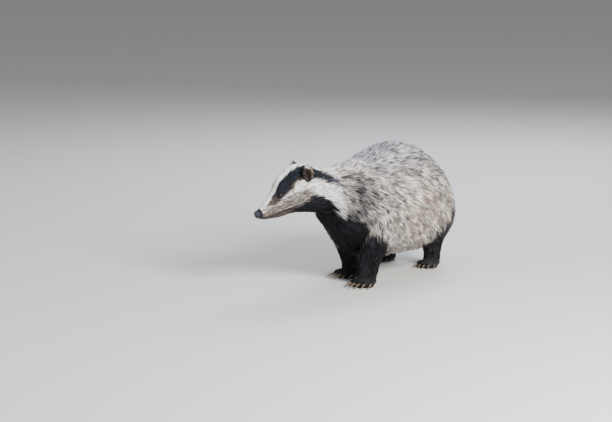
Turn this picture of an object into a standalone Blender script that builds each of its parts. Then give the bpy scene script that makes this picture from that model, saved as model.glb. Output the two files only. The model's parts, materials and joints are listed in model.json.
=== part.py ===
"""European badger, a still museum model at life size, standing with its head turned to its right.

Metres, +Z up. The badger faces -Y and its left side is at +X. The floor is at z = 0. The body is one
run of cross sections from the rump to the nose. Head, neck and torso are parts of that run, parted by
thin gaps; legs, tail, ears, eyes and nose pad meet it face to face.
"""

import math
import random

import bmesh
import bpy
import numpy as np

# Gap between two nodes that meet.
GAP = 0.0003

# Torso and neck, rump first. Each row is one cross section of the coat's outer surface:
# y, x, top z, bottom z, half width, drop of the widest part, yaw to the right, pitch (degrees).
TORSO_ROWS = (
    (0.264, -0.026, 0.168, 0.150, 0.010, 0.000, 0, 0),
    (0.254, -0.026, 0.207, 0.106, 0.050, 0.010, 0, 0),
    (0.228, -0.026, 0.227, 0.074, 0.076, 0.018, 0, 0),
    (0.180, -0.026, 0.251, 0.044, 0.104, 0.022, 0, 0),
    (0.120, -0.026, 0.278, 0.039, 0.120, 0.018, 0, 0),
    (0.050, -0.026, 0.284, 0.041, 0.112, 0.012, 0, 0),
    (-0.020, -0.026, 0.272, 0.046, 0.098, 0.008, 0, 2),
    (-0.075, -0.026, 0.265, 0.062, 0.089, 0.004, 2, 6),
    (-0.120, -0.026, 0.261, 0.096, 0.079, 0.000, 6, 8),
    (-0.158, -0.040, 0.256, 0.128, 0.069, 0.000, 14, 4),
    (-0.186, -0.049, 0.257, 0.151, 0.061, 0.000, 26, -10),
)
NECK_START = 8.0

# Head: place of the nose tip, turn to the badger's right and pitch of its axis (degrees).
NOSE_TIP = np.array([-0.1405, -0.309, 0.166])
HEAD_YAW = 38.0
HEAD_PITCH = -25.0
# Distance back from the nose tip, top and bottom above the axis, half width, drop of the widest part.
HEAD_ROWS = (
    (0.150, 0.0410, -0.0680, 0.0540, 0.004),
    (0.130, 0.0515, -0.0620, 0.0530, 0.006),
    (0.115, 0.0555, -0.0550, 0.0510, 0.008),
    (0.100, 0.0540, -0.0465, 0.0475, 0.008),
    (0.085, 0.0500, -0.0385, 0.0410, 0.007),
    (0.072, 0.0435, -0.0340, 0.0335, 0.005),
    (0.061, 0.0345, -0.0320, 0.0275, 0.004),
    (0.050, 0.0260, -0.0300, 0.0240, 0.003),
    (0.038, 0.0178, -0.0270, 0.0212, 0.003),
    (0.024, 0.0115, -0.0215, 0.0185, 0.002),
    (0.012, 0.0070, -0.0165, 0.0155, 0.001),
    (0.004, 0.0045, -0.0120, 0.0115, 0.000),
    (0.001, 0.0020, -0.0080, 0.0060, 0.000),
)
HEAD_START = float(len(TORSO_ROWS))

# Forms on each side of the head: distance back, height, side, reach, height of the form.
HEAD_FORMS = (
    (0.062, 0.0165, 0.0265, 0.0085, -0.0022),
    (0.068, 0.0285, 0.0210, 0.0090, 0.0016),
    (0.086, -0.0040, 0.0420, 0.0180, 0.0030),
    (0.030, -0.0060, 0.0195, 0.0110, 0.0012),
    (0.045, 0.0080, 0.0200, 0.0110, -0.0012),
)
# Line of the mouth: distance back from the nose tip and height.
MOUTH_LINE = ((0.0075, -0.0115), (0.016, -0.0135), (0.030, -0.0155), (0.045, -0.0165),
              (0.058, -0.0168), (0.068, -0.0162), (0.074, -0.0150))
MOUTH_GROOVE = 0.0009
LIP_HEIGHT = 0.0010
LIP_REACH = 0.0034

EYE_PLACE = (0.062, 0.0165)
EYE_RADIUS = 0.0046
EYE_DEPTH = 0.0030
LID_THICKNESS = 0.0013
LID_HALF_LENGTH = 0.0050
LID_HALF_HEIGHT = 0.0032

EAR_PLACES = {1: (0.128, 0.0345, 0.0430), -1: (0.129, 0.0305, 0.0445)}
EAR_HALF_HEIGHT = 0.0168
EAR_HALF_WIDTH = 0.0108
EAR_DEPTH = 0.0100
EAR_WALL = 0.0030

NOSE_PAD_PLACE = (0.0070, -0.0030)
NOSE_PAD_HALF = (0.0118, 0.0088, 0.0080)
NOSTRIL_SIDE = 0.0055

# Legs: x, y, z, half across, half along, from the shoulder or hip down to the ankle.
FRONT_LEG_LEFT = (
    (0.012, -0.072, 0.190, 0.030, 0.038), (0.024, -0.078, 0.150, 0.043, 0.052),
    (0.028, -0.084, 0.105, 0.036, 0.043), (0.020, -0.094, 0.068, 0.028, 0.031),
    (0.0140, -0.101, 0.038, 0.0235, 0.0245), (0.0125, -0.104, 0.014, 0.0215, 0.0230),
)
FRONT_LEG_RIGHT = (
    (-0.064, -0.052, 0.190, 0.030, 0.038), (-0.076, -0.048, 0.150, 0.043, 0.052),
    (-0.080, -0.042, 0.105, 0.036, 0.043), (-0.072, -0.036, 0.068, 0.028, 0.031),
    (-0.0660, -0.030, 0.038, 0.0235, 0.0245), (-0.0650, -0.028, 0.014, 0.0215, 0.0230),
)
HIND_LEG_LEFT = (
    (0.015, 0.140, 0.180, 0.040, 0.055), (0.034, 0.146, 0.130, 0.047, 0.070),
    (0.037, 0.152, 0.088, 0.036, 0.052), (0.031, 0.163, 0.055, 0.024, 0.031),
    (0.0285, 0.169, 0.032, 0.0195, 0.0225), (0.0275, 0.168, 0.014, 0.0190, 0.0210),
)
HIND_LEG_RIGHT = (
    (-0.067, 0.150, 0.180, 0.040, 0.055), (-0.088, 0.160, 0.130, 0.047, 0.070),
    (-0.095, 0.168, 0.088, 0.036, 0.052), (-0.094, 0.182, 0.055, 0.024, 0.031),
    (-0.0930, 0.189, 0.032, 0.0195, 0.0225), (-0.0930, 0.188, 0.014, 0.0190, 0.0210),
)
# Paws: heel y offset from the ankle, length, half width, height, toe radius, claw length, claw radius.
FRONT_PAW = (0.014, 0.052, 0.0235, 0.021, 0.0072, 0.024, 0.0026)
HIND_PAW = (0.016, 0.058, 0.0205, 0.019, 0.0064, 0.015, 0.0021)
ALL_LEGS = (FRONT_LEG_LEFT, FRONT_LEG_RIGHT, HIND_LEG_LEFT, HIND_LEG_RIGHT)
PAW_YAW = 6.0
TOES = 5

# Tail: x, y, z, radius of the coat's outer surface.
TAIL_ROWS = (
    (-0.026, 0.225, 0.190, 0.020), (-0.026, 0.250, 0.180, 0.025), (-0.026, 0.269, 0.156, 0.028),
    (-0.026, 0.277, 0.126, 0.029), (-0.026, 0.272, 0.096, 0.024), (-0.026, 0.260, 0.068, 0.012),
    (-0.026, 0.257, 0.060, 0.003),
)

# Long coat: how deep its locks reach from tip to core, and the size and spread of one lock.
# On the body run the core's depth is given by place, from the rump to the nose.
CORE_DEPTH = ((0, 0.006), (1, 0.010), (2, 0.011), (7, 0.011), (8, 0.0095), (11, 0.006), (13, 0.004), (15, 0.0))
TAIL_CORE = 0.0100
LEG_CORE = ((0, 0.006), (2.0, 0.005), (3.2, 0.002), (5, 0.001))
LOCK_SINK = 0.0060
LOCK_PLACES = (0.0, 0.26, 0.60, 0.86, 1.0)
LOCK_WIDTHS = (0.55, 1.00, 0.84, 0.46, 0.07)
LOCK_THICKS = (0.60, 1.00, 0.80, 0.50, 0.20)
# Spacing along and around, length, half width and half thickness of a lock.
TORSO_LOCK = (0.076, 0.074, 0.120, 0.0375, 0.0036)
NECK_LOCK = (0.042, 0.053, 0.076, 0.0260, 0.0028)
RUFF_LOCK = (0.022, 0.048, 0.044, 0.0190, 0.0018)
TAIL_LOCK = (0.034, 0.036, 0.074, 0.0165, 0.0028)
LEG_LOCK = (0.020, 0.046, 0.060, 0.0205, 0.0020)
# Clear space that locks of the body leave round the coat of a leg or the tail.
ROOM = 0.0022
# Distance from the tail within which no lock of the body ends.
BESIDE_TAIL = 0.007
LOCK_SEED = 14
# Corners of a union that are closer than this become one.
SAME_CORNER = 0.00001
# How strongly the coat hangs down at each part of the body run, from rump to nose.
HANG = ((0, 1.4), (1.5, 1.1), (3, 0.6), (5, 0.45), (6.5, 0.75), (8, 0.9), (10, 0.5), (11, 0.15), (24, 0.0))

COAT_GREY = (0.50, 0.47, 0.43, 1.0)
COAT_BLACK = (0.030, 0.031, 0.036, 1.0)
COAT_WHITE = (0.78, 0.75, 0.70, 1.0)
CREAM = (0.62, 0.57, 0.50, 1.0)
EYE_BLACK = (0.008, 0.006, 0.005, 1.0)
NOSE_BLACK = (0.018, 0.019, 0.023, 1.0)


def clear_scene():
    for obj in list(bpy.data.objects):
        bpy.data.objects.remove(obj, do_unlink=True)
    for mesh in list(bpy.data.meshes):
        bpy.data.meshes.remove(mesh)


def material(name, colour, roughness):
    made = bpy.data.materials.new(name)
    made.use_nodes = True
    shader = made.node_tree.nodes["Principled BSDF"]
    shader.inputs["Base Color"].default_value = colour
    shader.inputs["Roughness"].default_value = roughness
    made.diffuse_color = colour
    return made


def spline(rows, where):
    """Smooth curve through the rows; where runs from 0 to the number of the last row."""
    rows = np.asarray(rows, float)
    last = len(rows) - 1
    where = np.clip(np.asarray(where, float), 0, last - 1e-9)
    first = np.floor(where).astype(int)
    part = (where - first)[..., None]
    a = rows[np.clip(first - 1, 0, last)]
    b = rows[first]
    c = rows[np.clip(first + 1, 0, last)]
    d = rows[np.clip(first + 2, 0, last)]
    return b + 0.5 * part * ((c - a) + part * ((2 * a - 5 * b + 4 * c - d) + part * (3 * b - a - 3 * c + d)))


def axes(yaw, pitch):
    """Forward, left and up of something that faces -Y, turned right by yaw and nose up by pitch."""
    yaw = np.radians(yaw)
    pitch = np.radians(pitch)
    level = np.cos(pitch)
    forward = np.stack([-np.sin(yaw) * level, -np.cos(yaw) * level, np.sin(pitch)], -1)
    left = np.stack([np.cos(yaw), -np.sin(yaw), 0 * yaw], -1)
    return forward, left, np.cross(forward, left)


HEAD_FORWARD, HEAD_LEFT, HEAD_UP = axes(np.array(HEAD_YAW), np.array(HEAD_PITCH))


def head_point(back, up, side):
    return NOSE_TIP - HEAD_FORWARD * back + HEAD_UP * up + HEAD_LEFT * side


def body_rows():
    """Every cross section as centre x, y, z, yaw, pitch, half width, half height, drop."""
    rows = []
    for y, x, top, bottom, width, drop, yaw, pitch in TORSO_ROWS:
        half = (top - bottom) / 2 / math.cos(math.radians(pitch))
        rows.append((x, y, (top + bottom) / 2, yaw, pitch, width, half, drop))
    for back, top, bottom, width, drop in HEAD_ROWS:
        centre = head_point(back, (top + bottom) / 2, 0)
        rows.append((*centre, HEAD_YAW, HEAD_PITCH, width, (top - bottom) / 2, drop))
    return np.array(rows)


BODY = body_rows()
# Places of the cross sections that each part of the run is built from, and points in each.
TORSO_PLACES = tuple(np.arange(0, NECK_START + 0.01, 0.5))
NECK_PLACES = tuple(np.linspace(NECK_START, HEAD_START, 7))
HEAD_PLACES = tuple(np.linspace(HEAD_START, len(BODY) - 1.0, 22))
BODY_SIZE = 20
HEAD_SIZE = 28
LEG_SIZE = 12
FRONT_LOCK_ROWS = (0.9, 1.9)
HIND_LOCK_ROWS = (1.2,)
TAIL_SIZE = 10
ROOM_SIZE = 24
TAIL_LOCK_ROWS = (1.3, 2.5)
RUFF_ROWS = (0.7, 1.8)
# Places between which locks lie along the body, a leg and the tail.
BODY_ENDS = (0.25, len(BODY) - 1.1)
LEG_ENDS = (0.0, 4.6)
TAIL_ENDS = (0.0, 4.8)


def body_surface(where, around, grow=0.0, shift=0.0):
    """Points of the coat's outer surface, grown outwards by grow, their ring moved forward by shift."""
    row = spline(BODY, where)
    forward, left, up = axes(row[..., 3], row[..., 4])
    across = np.cos(around)[..., None]
    high = np.sin(around)[..., None]
    width = row[..., 5:6] + grow
    height = row[..., 6:7] + grow
    drop = row[..., 7:8]
    lift = height * high - drop * across * across
    return row[..., :3] + left * width * across + up * lift + forward * shift


def core_depth(where):
    return np.interp(where, [c[0] for c in CORE_DEPTH], [c[1] for c in CORE_DEPTH])


def slopes(surface, where, around, grow):
    """Point of a surface, its slope along both of its coordinates, and its outward normal."""
    point = surface(where, around, grow)
    along = (surface(where + 0.02, around, grow) - surface(where - 0.02, around, grow)) / 0.04
    over = (surface(where, around + 0.02, grow) - surface(where, around - 0.02, grow)) / 0.04
    normal = np.cross(along, over)
    normal /= np.linalg.norm(normal, axis=-1)[..., None]
    middle = surface(where, around + math.pi, grow)
    normal *= np.sign(np.sum(normal * (point - middle), axis=-1))[..., None]
    return point, along, over, normal


def follow(surface, ends, where, around, length, half_width, grows, lie, turn):
    """Path along the surface, at the height given for each of its places, with the edges of a lock beside it.

    Past either end of the surface the path goes straight on."""
    path = []
    before = 0.0
    past = np.zeros(3)
    for place, share, grow in zip(LOCK_PLACES, LOCK_WIDTHS, grows):
        for _ in range(3):
            point, along, over, normal = slopes(surface, where, around, 0.0)
            way = lie(where, around, normal)
            way = way - normal * (way @ normal)
            way = way / np.linalg.norm(way)
            way = way * math.cos(turn) + np.cross(normal, way) * math.sin(turn)
            step = way * length * (place - before) / 3
            moved = np.linalg.lstsq(np.stack([along, over], -1), step, rcond=None)[0]
            if ends[0] <= where + moved[0] <= ends[1]:
                where = where + moved[0]
                around = around + moved[1]
            else:
                past = past + step
        before = place
        point, along, over, normal = slopes(surface, where, around, 0.0)
        wide = np.cross(way, normal) * half_width * share
        moved = np.linalg.lstsq(np.stack([along, over], -1), wide, rcond=None)[0]
        edges = [surface(np.clip(where + side * moved[0], *ends), around + side * moved[1], grow) + past
                 for side in (1, -1)]
        path.append((surface(where, around, grow) + past, normal, *edges))
    return path


def lock(path, half_thick):
    """Flat tapered lock along a path, its broad side turned outwards and its edges bent round the body."""
    rings = []
    for (point, normal, left, right), share in zip(path, LOCK_THICKS):
        thick = normal * half_thick * share
        rings.append([left - thick / 2, point + thick, right - thick / 2])
    return loft("lock", rings)


def body_lie(where, around, normal):
    """Way the coat lies on the body run: to the rear, and down where it hangs."""
    forward = axes(*spline(BODY, where)[3:5])[0]
    hang = np.interp(where, [h[0] for h in HANG], [h[1] for h in HANG])
    return -forward + np.array([0.0, 0.0, -hang]) * (0.25 + 0.75 * abs(math.cos(around)))


def nowhere(point):
    return False


def coat(surface, ends, rows, wanted, core_of, size, lie, no_root=nowhere, no_tip=nowhere):
    """Locks over a surface, in staggered rows that start at the given places."""
    random.seed(LOCK_SEED)
    spread, length, half_width, half_thick = size[1:]
    locks = []
    for number, where in enumerate(rows):
        ring = surface(np.full(24, where), 2 * np.pi * np.arange(24) / 24, 0.0)
        girth = np.linalg.norm(ring - np.roll(ring, 1, axis=0), axis=1).sum()
        count = max(3, round(girth / spread))
        for k in range(count):
            around = 2 * math.pi * (k + 0.5 * (number % 2) + random.uniform(-0.16, 0.16)) / count
            place = where + random.uniform(-0.12, 0.12)
            stretch = random.uniform(0.85, 1.12)
            turn = random.uniform(-0.16, 0.16)
            lift = random.uniform(-0.0012, 0.0006)
            if not wanted(around) or no_root(surface(place, around, 0.0)):
                continue
            core = core_of(place)
            grows = (-core - LOCK_SINK, -half_thick - 0.12 * core + lift, -half_thick * 0.8 + lift,
                     -half_thick * 0.5 + lift, lift)
            wide = half_width * random.uniform(0.88, 1.1)
            path = follow(surface, ends, place, around, length * stretch, wide, grows, lie, turn)
            if not no_tip(path[-1][0]):
                locks.append(lock(path, half_thick))
    return locks


def places_by_distance(surface, start, end, spacing):
    """Places from start to end about as far apart along the surface's middle line as the spacing."""
    places = np.linspace(start, end, 200)
    middle = np.array([(surface(p, 0.0, 0.0) + surface(p, math.pi, 0.0)) / 2 for p in places])
    run = np.concatenate([[0], np.cumsum(np.linalg.norm(np.diff(middle, axis=0), axis=1))])
    count = max(1, round(run[-1] / spacing))
    return np.interp((np.arange(count) + 0.5) * run[-1] / count, run, places)


def head_relief(points):
    """How far each point of the head is raised by the forms of the face and the lips."""
    local = points - NOSE_TIP
    back = -local @ HEAD_FORWARD
    up = local @ HEAD_UP
    side = np.abs(local @ HEAD_LEFT)
    raised = np.zeros(points.shape[:-1])
    for form_back, form_up, form_side, reach, height in HEAD_FORMS:
        distance = (back - form_back) ** 2 + (up - form_up) ** 2 + (side - form_side) ** 2
        raised += height * np.exp(-distance / (reach * reach))
    line = np.interp(back, [p[0] for p in MOUTH_LINE], [p[1] for p in MOUTH_LINE])
    along = np.clip((back - 0.004) / 0.006, 0, 1) * np.clip((0.078 - back) / 0.010, 0, 1)
    raised += LIP_HEIGHT * along * np.exp(-(((up - line) / LIP_REACH) ** 2))
    return raised


def face_point(back, up, side, out=0.0):
    """Point of the head's surface at a distance back and a height on one side, moved outwards by out."""
    where = HEAD_START + np.interp(-back, [-r[0] for r in HEAD_ROWS], np.arange(len(HEAD_ROWS)))
    turns = np.linspace(-np.pi / 2, np.pi / 2, 60)
    points = body_surface(np.full(60, where), turns if side > 0 else np.pi - turns)
    outward = points - points.mean(axis=0)
    outward += HEAD_LEFT * (points.mean(axis=0) - head_point(back, 0, 0)) @ HEAD_LEFT
    outward /= np.linalg.norm(outward, axis=1)[:, None]
    points = points + outward * (head_relief(points)[:, None] + out)
    ups = (points - NOSE_TIP) @ HEAD_UP
    return np.array([np.interp(up, ups, points[:, k]) for k in range(3)])


def mesh_object(name, vertices, faces):
    mesh = bpy.data.meshes.new(name)
    mesh.from_pydata([tuple(v) for v in vertices], [], faces)
    shape = bmesh.new()
    shape.from_mesh(mesh)
    bmesh.ops.recalc_face_normals(shape, faces=shape.faces)
    shape.to_mesh(mesh)
    shape.free()
    obj = bpy.data.objects.new(name, mesh)
    bpy.context.scene.collection.objects.link(obj)
    return obj


def loft(name, rings):
    """Closed solid through rings of equally many points, with flat ends."""
    rings = np.asarray(rings, float)
    count, size = rings.shape[:2]
    faces = [tuple(range(size)), tuple((count - 1) * size + k for k in reversed(range(size)))]
    for i in range(count - 1):
        for k in range(size):
            nxt = (k + 1) % size
            faces.append((i * size + k, i * size + nxt, (i + 1) * size + nxt))
            faces.append((i * size + k, (i + 1) * size + nxt, (i + 1) * size + k))
    return mesh_object(name, rings.reshape(-1, 3), faces)


def ellipsoid(name, centre, axis_x, axis_y, axis_z, around=16, stacks=10):
    """Closed ellipsoid whose three half axes are given as vectors."""
    vertices = [centre + axis_z]
    for i in range(1, stacks):
        polar = math.pi * i / stacks
        for k in range(around):
            turn = 2 * math.pi * k / around
            flat = axis_x * math.cos(turn) + axis_y * math.sin(turn)
            vertices.append(centre + flat * math.sin(polar) + axis_z * math.cos(polar))
    vertices.append(centre - axis_z)
    faces = [(0, 1 + k, 1 + (k + 1) % around) for k in range(around)]
    for i in range(stacks - 2):
        for k in range(around):
            a = 1 + i * around + k
            b = 1 + i * around + (k + 1) % around
            faces.append((a, a + around, b + around, b))
    end = len(vertices) - 1
    start = end - around
    faces += [(end, start + (k + 1) % around, start + k) for k in range(around)]
    return mesh_object(name, vertices, faces)


def box(name, low, high):
    corners = [(x, y, z) for x in (low[0], high[0]) for y in (low[1], high[1]) for z in (low[2], high[2])]
    faces = [(0, 1, 3, 2), (4, 6, 7, 5), (0, 4, 5, 1), (2, 3, 7, 6), (0, 2, 6, 4), (1, 5, 7, 3)]
    return mesh_object(name, corners, faces)


def bent_tube(name, points, radii, sides=8, flatten=1.0, up=(0, 0, 1)):
    """Round or flattened solid along a path of points."""
    points = np.asarray(points, float)
    rings = []
    for i, point in enumerate(points):
        along = points[min(i + 1, len(points) - 1)] - points[max(i - 1, 0)]
        along /= np.linalg.norm(along)
        side = np.cross(along, up)
        side /= np.linalg.norm(side)
        over = np.cross(side, along)
        turn = 2 * np.pi * np.arange(sides) / sides
        ring = np.cos(turn)[:, None] * side + flatten * np.sin(turn)[:, None] * over
        rings.append(point + radii[i] * ring)
    return loft(name, rings)


def combine(obj, others, operation, solver="MANIFOLD"):
    """Joins or cuts obj with all others in one step, then removes them."""
    group = bpy.data.collections.new("group")
    bpy.context.scene.collection.children.link(group)
    for other in others:
        bpy.context.scene.collection.objects.unlink(other)
        group.objects.link(other)
    modifier = obj.modifiers.new("combine", "BOOLEAN")
    modifier.operation = operation
    modifier.operand_type = "COLLECTION"
    modifier.collection = group
    modifier.solver = solver
    bpy.context.view_layer.update()
    made = bpy.data.meshes.new_from_object(obj.evaluated_get(bpy.context.evaluated_depsgraph_get()))
    obj.modifiers.clear()
    obj.data = made
    for other in list(group.objects):
        bpy.data.objects.remove(other, do_unlink=True)
    bpy.data.collections.remove(group)
    return obj


def surfaces_of(shape):
    """Sets of faces that hang together across edges with two faces, smallest first."""
    left = set(shape.faces)
    parts = []
    while left:
        part = set()
        edge = [left.pop()]
        while edge:
            face = edge.pop()
            part.add(face)
            for side in face.edges:
                if len(side.link_faces) == 2:
                    for other in side.link_faces:
                        if other in left:
                            left.remove(other)
                            edge.append(other)
        parts.append(part)
    return sorted(parts, key=len)


def keep_largest(obj):
    """Keeps only the largest closed surface of obj."""
    shape = bmesh.new()
    shape.from_mesh(obj.data)
    bmesh.ops.remove_doubles(shape, verts=shape.verts, dist=SAME_CORNER)
    for part in surfaces_of(shape)[:-1]:
        bmesh.ops.delete(shape, geom=list(part), context="FACES")
    shape.to_mesh(obj.data)
    shape.free()
    return obj


def body_part(name, places, size, grow=0.0, cut_start=GAP / 2, cut_end=-GAP / 2):
    """Core of the body run through the given places, its end rings moved apart from its neighbours."""
    rings = []
    around = 2 * np.pi * np.arange(size) / size
    for where in places:
        shift = cut_start if where == places[0] else cut_end if where == places[-1] else 0.0
        if grow and where < 3:
            shift -= grow * (1 - where / 3)
        points = body_surface(np.full(size, where), around, grow - core_depth(where), shift)
        if where > HEAD_START:
            centre = points.mean(axis=0)
            outward = points - centre
            outward /= np.linalg.norm(outward, axis=1)[:, None]
            points = points + outward * head_relief(points)[:, None]
        rings.append(points)
    return loft(name, rings)


def eye_centre(side):
    return face_point(EYE_PLACE[0], EYE_PLACE[1], side, -EYE_DEPTH)


def eye_axes(side):
    """Outward, forward and up of an eye, which looks outwards, a little forward and up."""
    outward = HEAD_LEFT * side * 0.90 + HEAD_FORWARD * 0.34 + HEAD_UP * 0.28
    outward /= np.linalg.norm(outward)
    along = HEAD_FORWARD - outward * (HEAD_FORWARD @ outward)
    along /= np.linalg.norm(along)
    return outward, along, np.cross(outward, along) * side


def ball(name, centre, radius, around=16, stacks=10):
    unit = np.eye(3) * radius
    return ellipsoid(name, centre, unit[0], unit[1], unit[2], around, stacks)


def nose_pad(name, grow):
    centre = head_point(NOSE_PAD_PLACE[0], NOSE_PAD_PLACE[1], 0)
    width, height, depth = (half + grow for half in NOSE_PAD_HALF)
    return ellipsoid(name, centre, HEAD_LEFT * width, HEAD_UP * height, HEAD_FORWARD * depth, 12, 8)


def mouth_groove():
    """Thin tube along the line of the mouth, from one corner round the front to the other."""
    backs = [p[0] for p in MOUTH_LINE]
    ups = [p[1] for p in MOUTH_LINE]
    places = np.linspace(backs[0], backs[-1], 12)
    halves = [[face_point(back, np.interp(back, backs, ups), side) for back in places] for side in (1, -1)]
    path = halves[0][::-1] + halves[1]
    return bent_tube("mouth_groove", path, [MOUTH_GROOVE] * len(path), 5, 1.0, HEAD_UP)


def half_space(where, ahead):
    """Large block on one side of a cross section, to cut a part's locks at its neighbour."""
    row = spline(BODY, where)
    forward, left, up = axes(row[3], row[4])
    way = 1 if ahead else -1
    rings = []
    for depth in (-GAP / 2, 0.25):
        rings.append([row[:3] + forward * way * depth + left * a + up * b
                      for a, b in ((-0.25, -0.25), (0.25, -0.25), (0.25, 0.25), (-0.25, 0.25))])
    return loft("half_space", rings)


def body_locks(start, end, size, wanted=lambda around: True):
    rows = places_by_distance(body_surface, start, end, size[0])
    return coat(body_surface, BODY_ENDS, rows, wanted, core_depth, size, body_lie, inside_leg, near_tail)


def make_torso():
    torso = body_part("torso", TORSO_PLACES, BODY_SIZE, 0.0, 0.0, -GAP / 2)
    keep_largest(combine(torso, body_locks(0.9, NECK_START, TORSO_LOCK), "UNION"))
    rooms = [leg_room(rows) for rows in ALL_LEGS] + [tail_room()]
    combine(torso, rooms + [half_space(NECK_START, True)], "DIFFERENCE")
    return keep_largest(torso)


def make_neck():
    neck = body_part("neck", NECK_PLACES, BODY_SIZE)
    keep_largest(combine(neck, body_locks(NECK_START + 0.1, HEAD_START, NECK_LOCK), "UNION"))
    cutters = [leg_room(FRONT_LEG_LEFT), leg_room(FRONT_LEG_RIGHT)]
    cutters += [half_space(NECK_START, False), half_space(HEAD_START, True)]
    combine(neck, cutters, "DIFFERENCE")
    return keep_largest(neck)


def make_head():
    head = body_part("head", HEAD_PLACES, HEAD_SIZE, 0.0, GAP / 2, 0.0)
    joined = coat(body_surface, BODY_ENDS, [HEAD_START + r for r in RUFF_ROWS],
                  lambda around: math.sin(around) < 0.3, core_depth, RUFF_LOCK, body_lie)
    cutters = [nose_pad("nose_room", GAP), mouth_groove(), half_space(HEAD_START, False)]
    for side in (1, -1):
        centre = eye_centre(side)
        outward, along, up = eye_axes(side)
        radius = EYE_RADIUS + LID_THICKNESS
        joined.append(ellipsoid("lid", centre, along * radius * 1.15, up * radius, outward * radius, 14, 8))
        opening = centre + outward * EYE_RADIUS * 1.35
        cutters.append(ellipsoid("lid_opening", opening, along * LID_HALF_LENGTH, up * LID_HALF_HEIGHT,
                                 outward * EYE_RADIUS, 12, 6))
        cutters.append(ball("eye_room", centre, EYE_RADIUS + GAP, 12, 8))
    keep_largest(combine(head, joined, "UNION"))
    combine(head, cutters, "DIFFERENCE")
    return keep_largest(head)


def make_eyes():
    sides = (("eye_left", 1), ("eye_right", -1))
    return [ball(name, eye_centre(side), EYE_RADIUS, 12, 8) for name, side in sides]


def make_nose():
    nose = nose_pad("nose", 0.0)
    cutters = []
    for side in (1, -1):
        centre = head_point(0.0005, -0.0025, side * NOSTRIL_SIDE)
        forward = HEAD_FORWARD * 0.0035 + HEAD_LEFT * side * 0.0016
        across = HEAD_LEFT * 0.0021 - HEAD_FORWARD * side * 0.0008
        cutters.append(ellipsoid("nostril", centre, across, HEAD_UP * 0.0026, forward, 10, 6))
        slit = head_point(0.0030, -0.0040, side * 0.0088)
        cutters.append(ellipsoid("nostril_slit", slit, across * 1.3, HEAD_UP * 0.0009, forward, 8, 6))
    lip = [head_point(b, u, 0) for b, u in ((-0.0016, -0.0040), (-0.0010, -0.0085), (0.0015, -0.0120))]
    cutters.append(bent_tube("nose_groove", lip, [0.0006] * 3, 6, 1.0, HEAD_LEFT))
    combine(nose, cutters, "DIFFERENCE")
    return keep_largest(nose)


def make_ear(name, side, rooms):
    """Cup with a thick rim, its opening turned outwards and forward, its foot sunk to the head."""
    back, up, out = EAR_PLACES[side]
    centre = head_point(back, up, side * out)
    facing = HEAD_LEFT * side * 0.80 + HEAD_FORWARD * 0.58 + HEAD_UP * 0.10
    facing /= np.linalg.norm(facing)
    tall = HEAD_UP * 0.93 + HEAD_LEFT * side * 0.34 - HEAD_FORWARD * 0.12
    tall -= facing * (tall @ facing)
    tall /= np.linalg.norm(tall)
    wide = np.cross(facing, tall)
    cup = ellipsoid(name, centre, wide * EAR_HALF_WIDTH, tall * EAR_HALF_HEIGHT, facing * EAR_DEPTH, 14, 10)
    hollow = ellipsoid("ear_hollow", centre + facing * EAR_DEPTH * 0.80 + tall * 0.001,
                       wide * (EAR_HALF_WIDTH - EAR_WALL), tall * (EAR_HALF_HEIGHT - EAR_WALL),
                       facing * EAR_DEPTH * 0.98, 14, 7)
    front = centre + facing * EAR_DEPTH * 0.55
    rings = []
    for depth in (0.0, 0.05):
        rings.append([front + facing * depth + wide * a + tall * b
                      for a, b in ((-0.05, -0.05), (0.05, -0.05), (0.05, 0.05), (-0.05, 0.05))])
    combine(cup, [hollow, loft("ear_front", rings)], "DIFFERENCE")
    combine(cup, rooms, "DIFFERENCE")
    return keep_largest(cup)


def leg_surface(rows):
    """Outer surface of a leg's coat, as a function of place from hip to ankle, turn and growth."""
    def surface(where, around, grow=0.0):
        row = spline(rows, where)
        flat = np.stack([(row[..., 3] + grow) * np.cos(around), (row[..., 4] + grow) * np.sin(around),
                         0 * row[..., 0]], -1)
        return row[..., :3] + flat
    return surface


def leg_core(where):
    return np.interp(where, [c[0] for c in LEG_CORE], [c[1] for c in LEG_CORE])


def leg_room(rows):
    """Space that a leg and its coat take outside the torso's and neck's core."""
    room = leg_tube("leg_room", rows, lambda where: ROOM, ROOM_SIZE, 20)
    core = body_part("core", TORSO_PLACES + NECK_PLACES[1:], BODY_SIZE, -GAP * 0.2, 0.0, 0.0)
    return combine(room, [core], "DIFFERENCE")


def inside_leg(point):
    """Whether a point of the coat is inside the top of a leg."""
    for rows in ALL_LEGS:
        table = np.array(rows)[::-1]
        x, y, across, along = (np.interp(point[2], table[:, 2], table[:, k]) for k in (0, 1, 3, 4))
        inside = ((point[0] - x) / across) ** 2 + ((point[1] - y) / along) ** 2 < 0.8
        if inside and point[2] < table[-1, 2]:
            return True
    return False


def near_tail(point):
    """Whether a point of the coat is inside the tail or just beside it."""
    rows = spline(TAIL_ROWS, np.linspace(0, len(TAIL_ROWS) - 1, 40))
    return bool((np.linalg.norm(rows[:, :3] - point, axis=1) < rows[:, 3] + BESIDE_TAIL).any())


def leg_tube(name, rows, grow, size=LEG_SIZE, count=9):
    surface = leg_surface(rows)
    turn = 2 * np.pi * np.arange(size) / size
    rings = [surface(np.full(size, where), turn, grow(where)) for where in np.linspace(0, len(rows) - 1, count)]
    return loft(name, rings)


def down(where, around, normal):
    return np.array([0.0, 0.25, -1.0])


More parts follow.
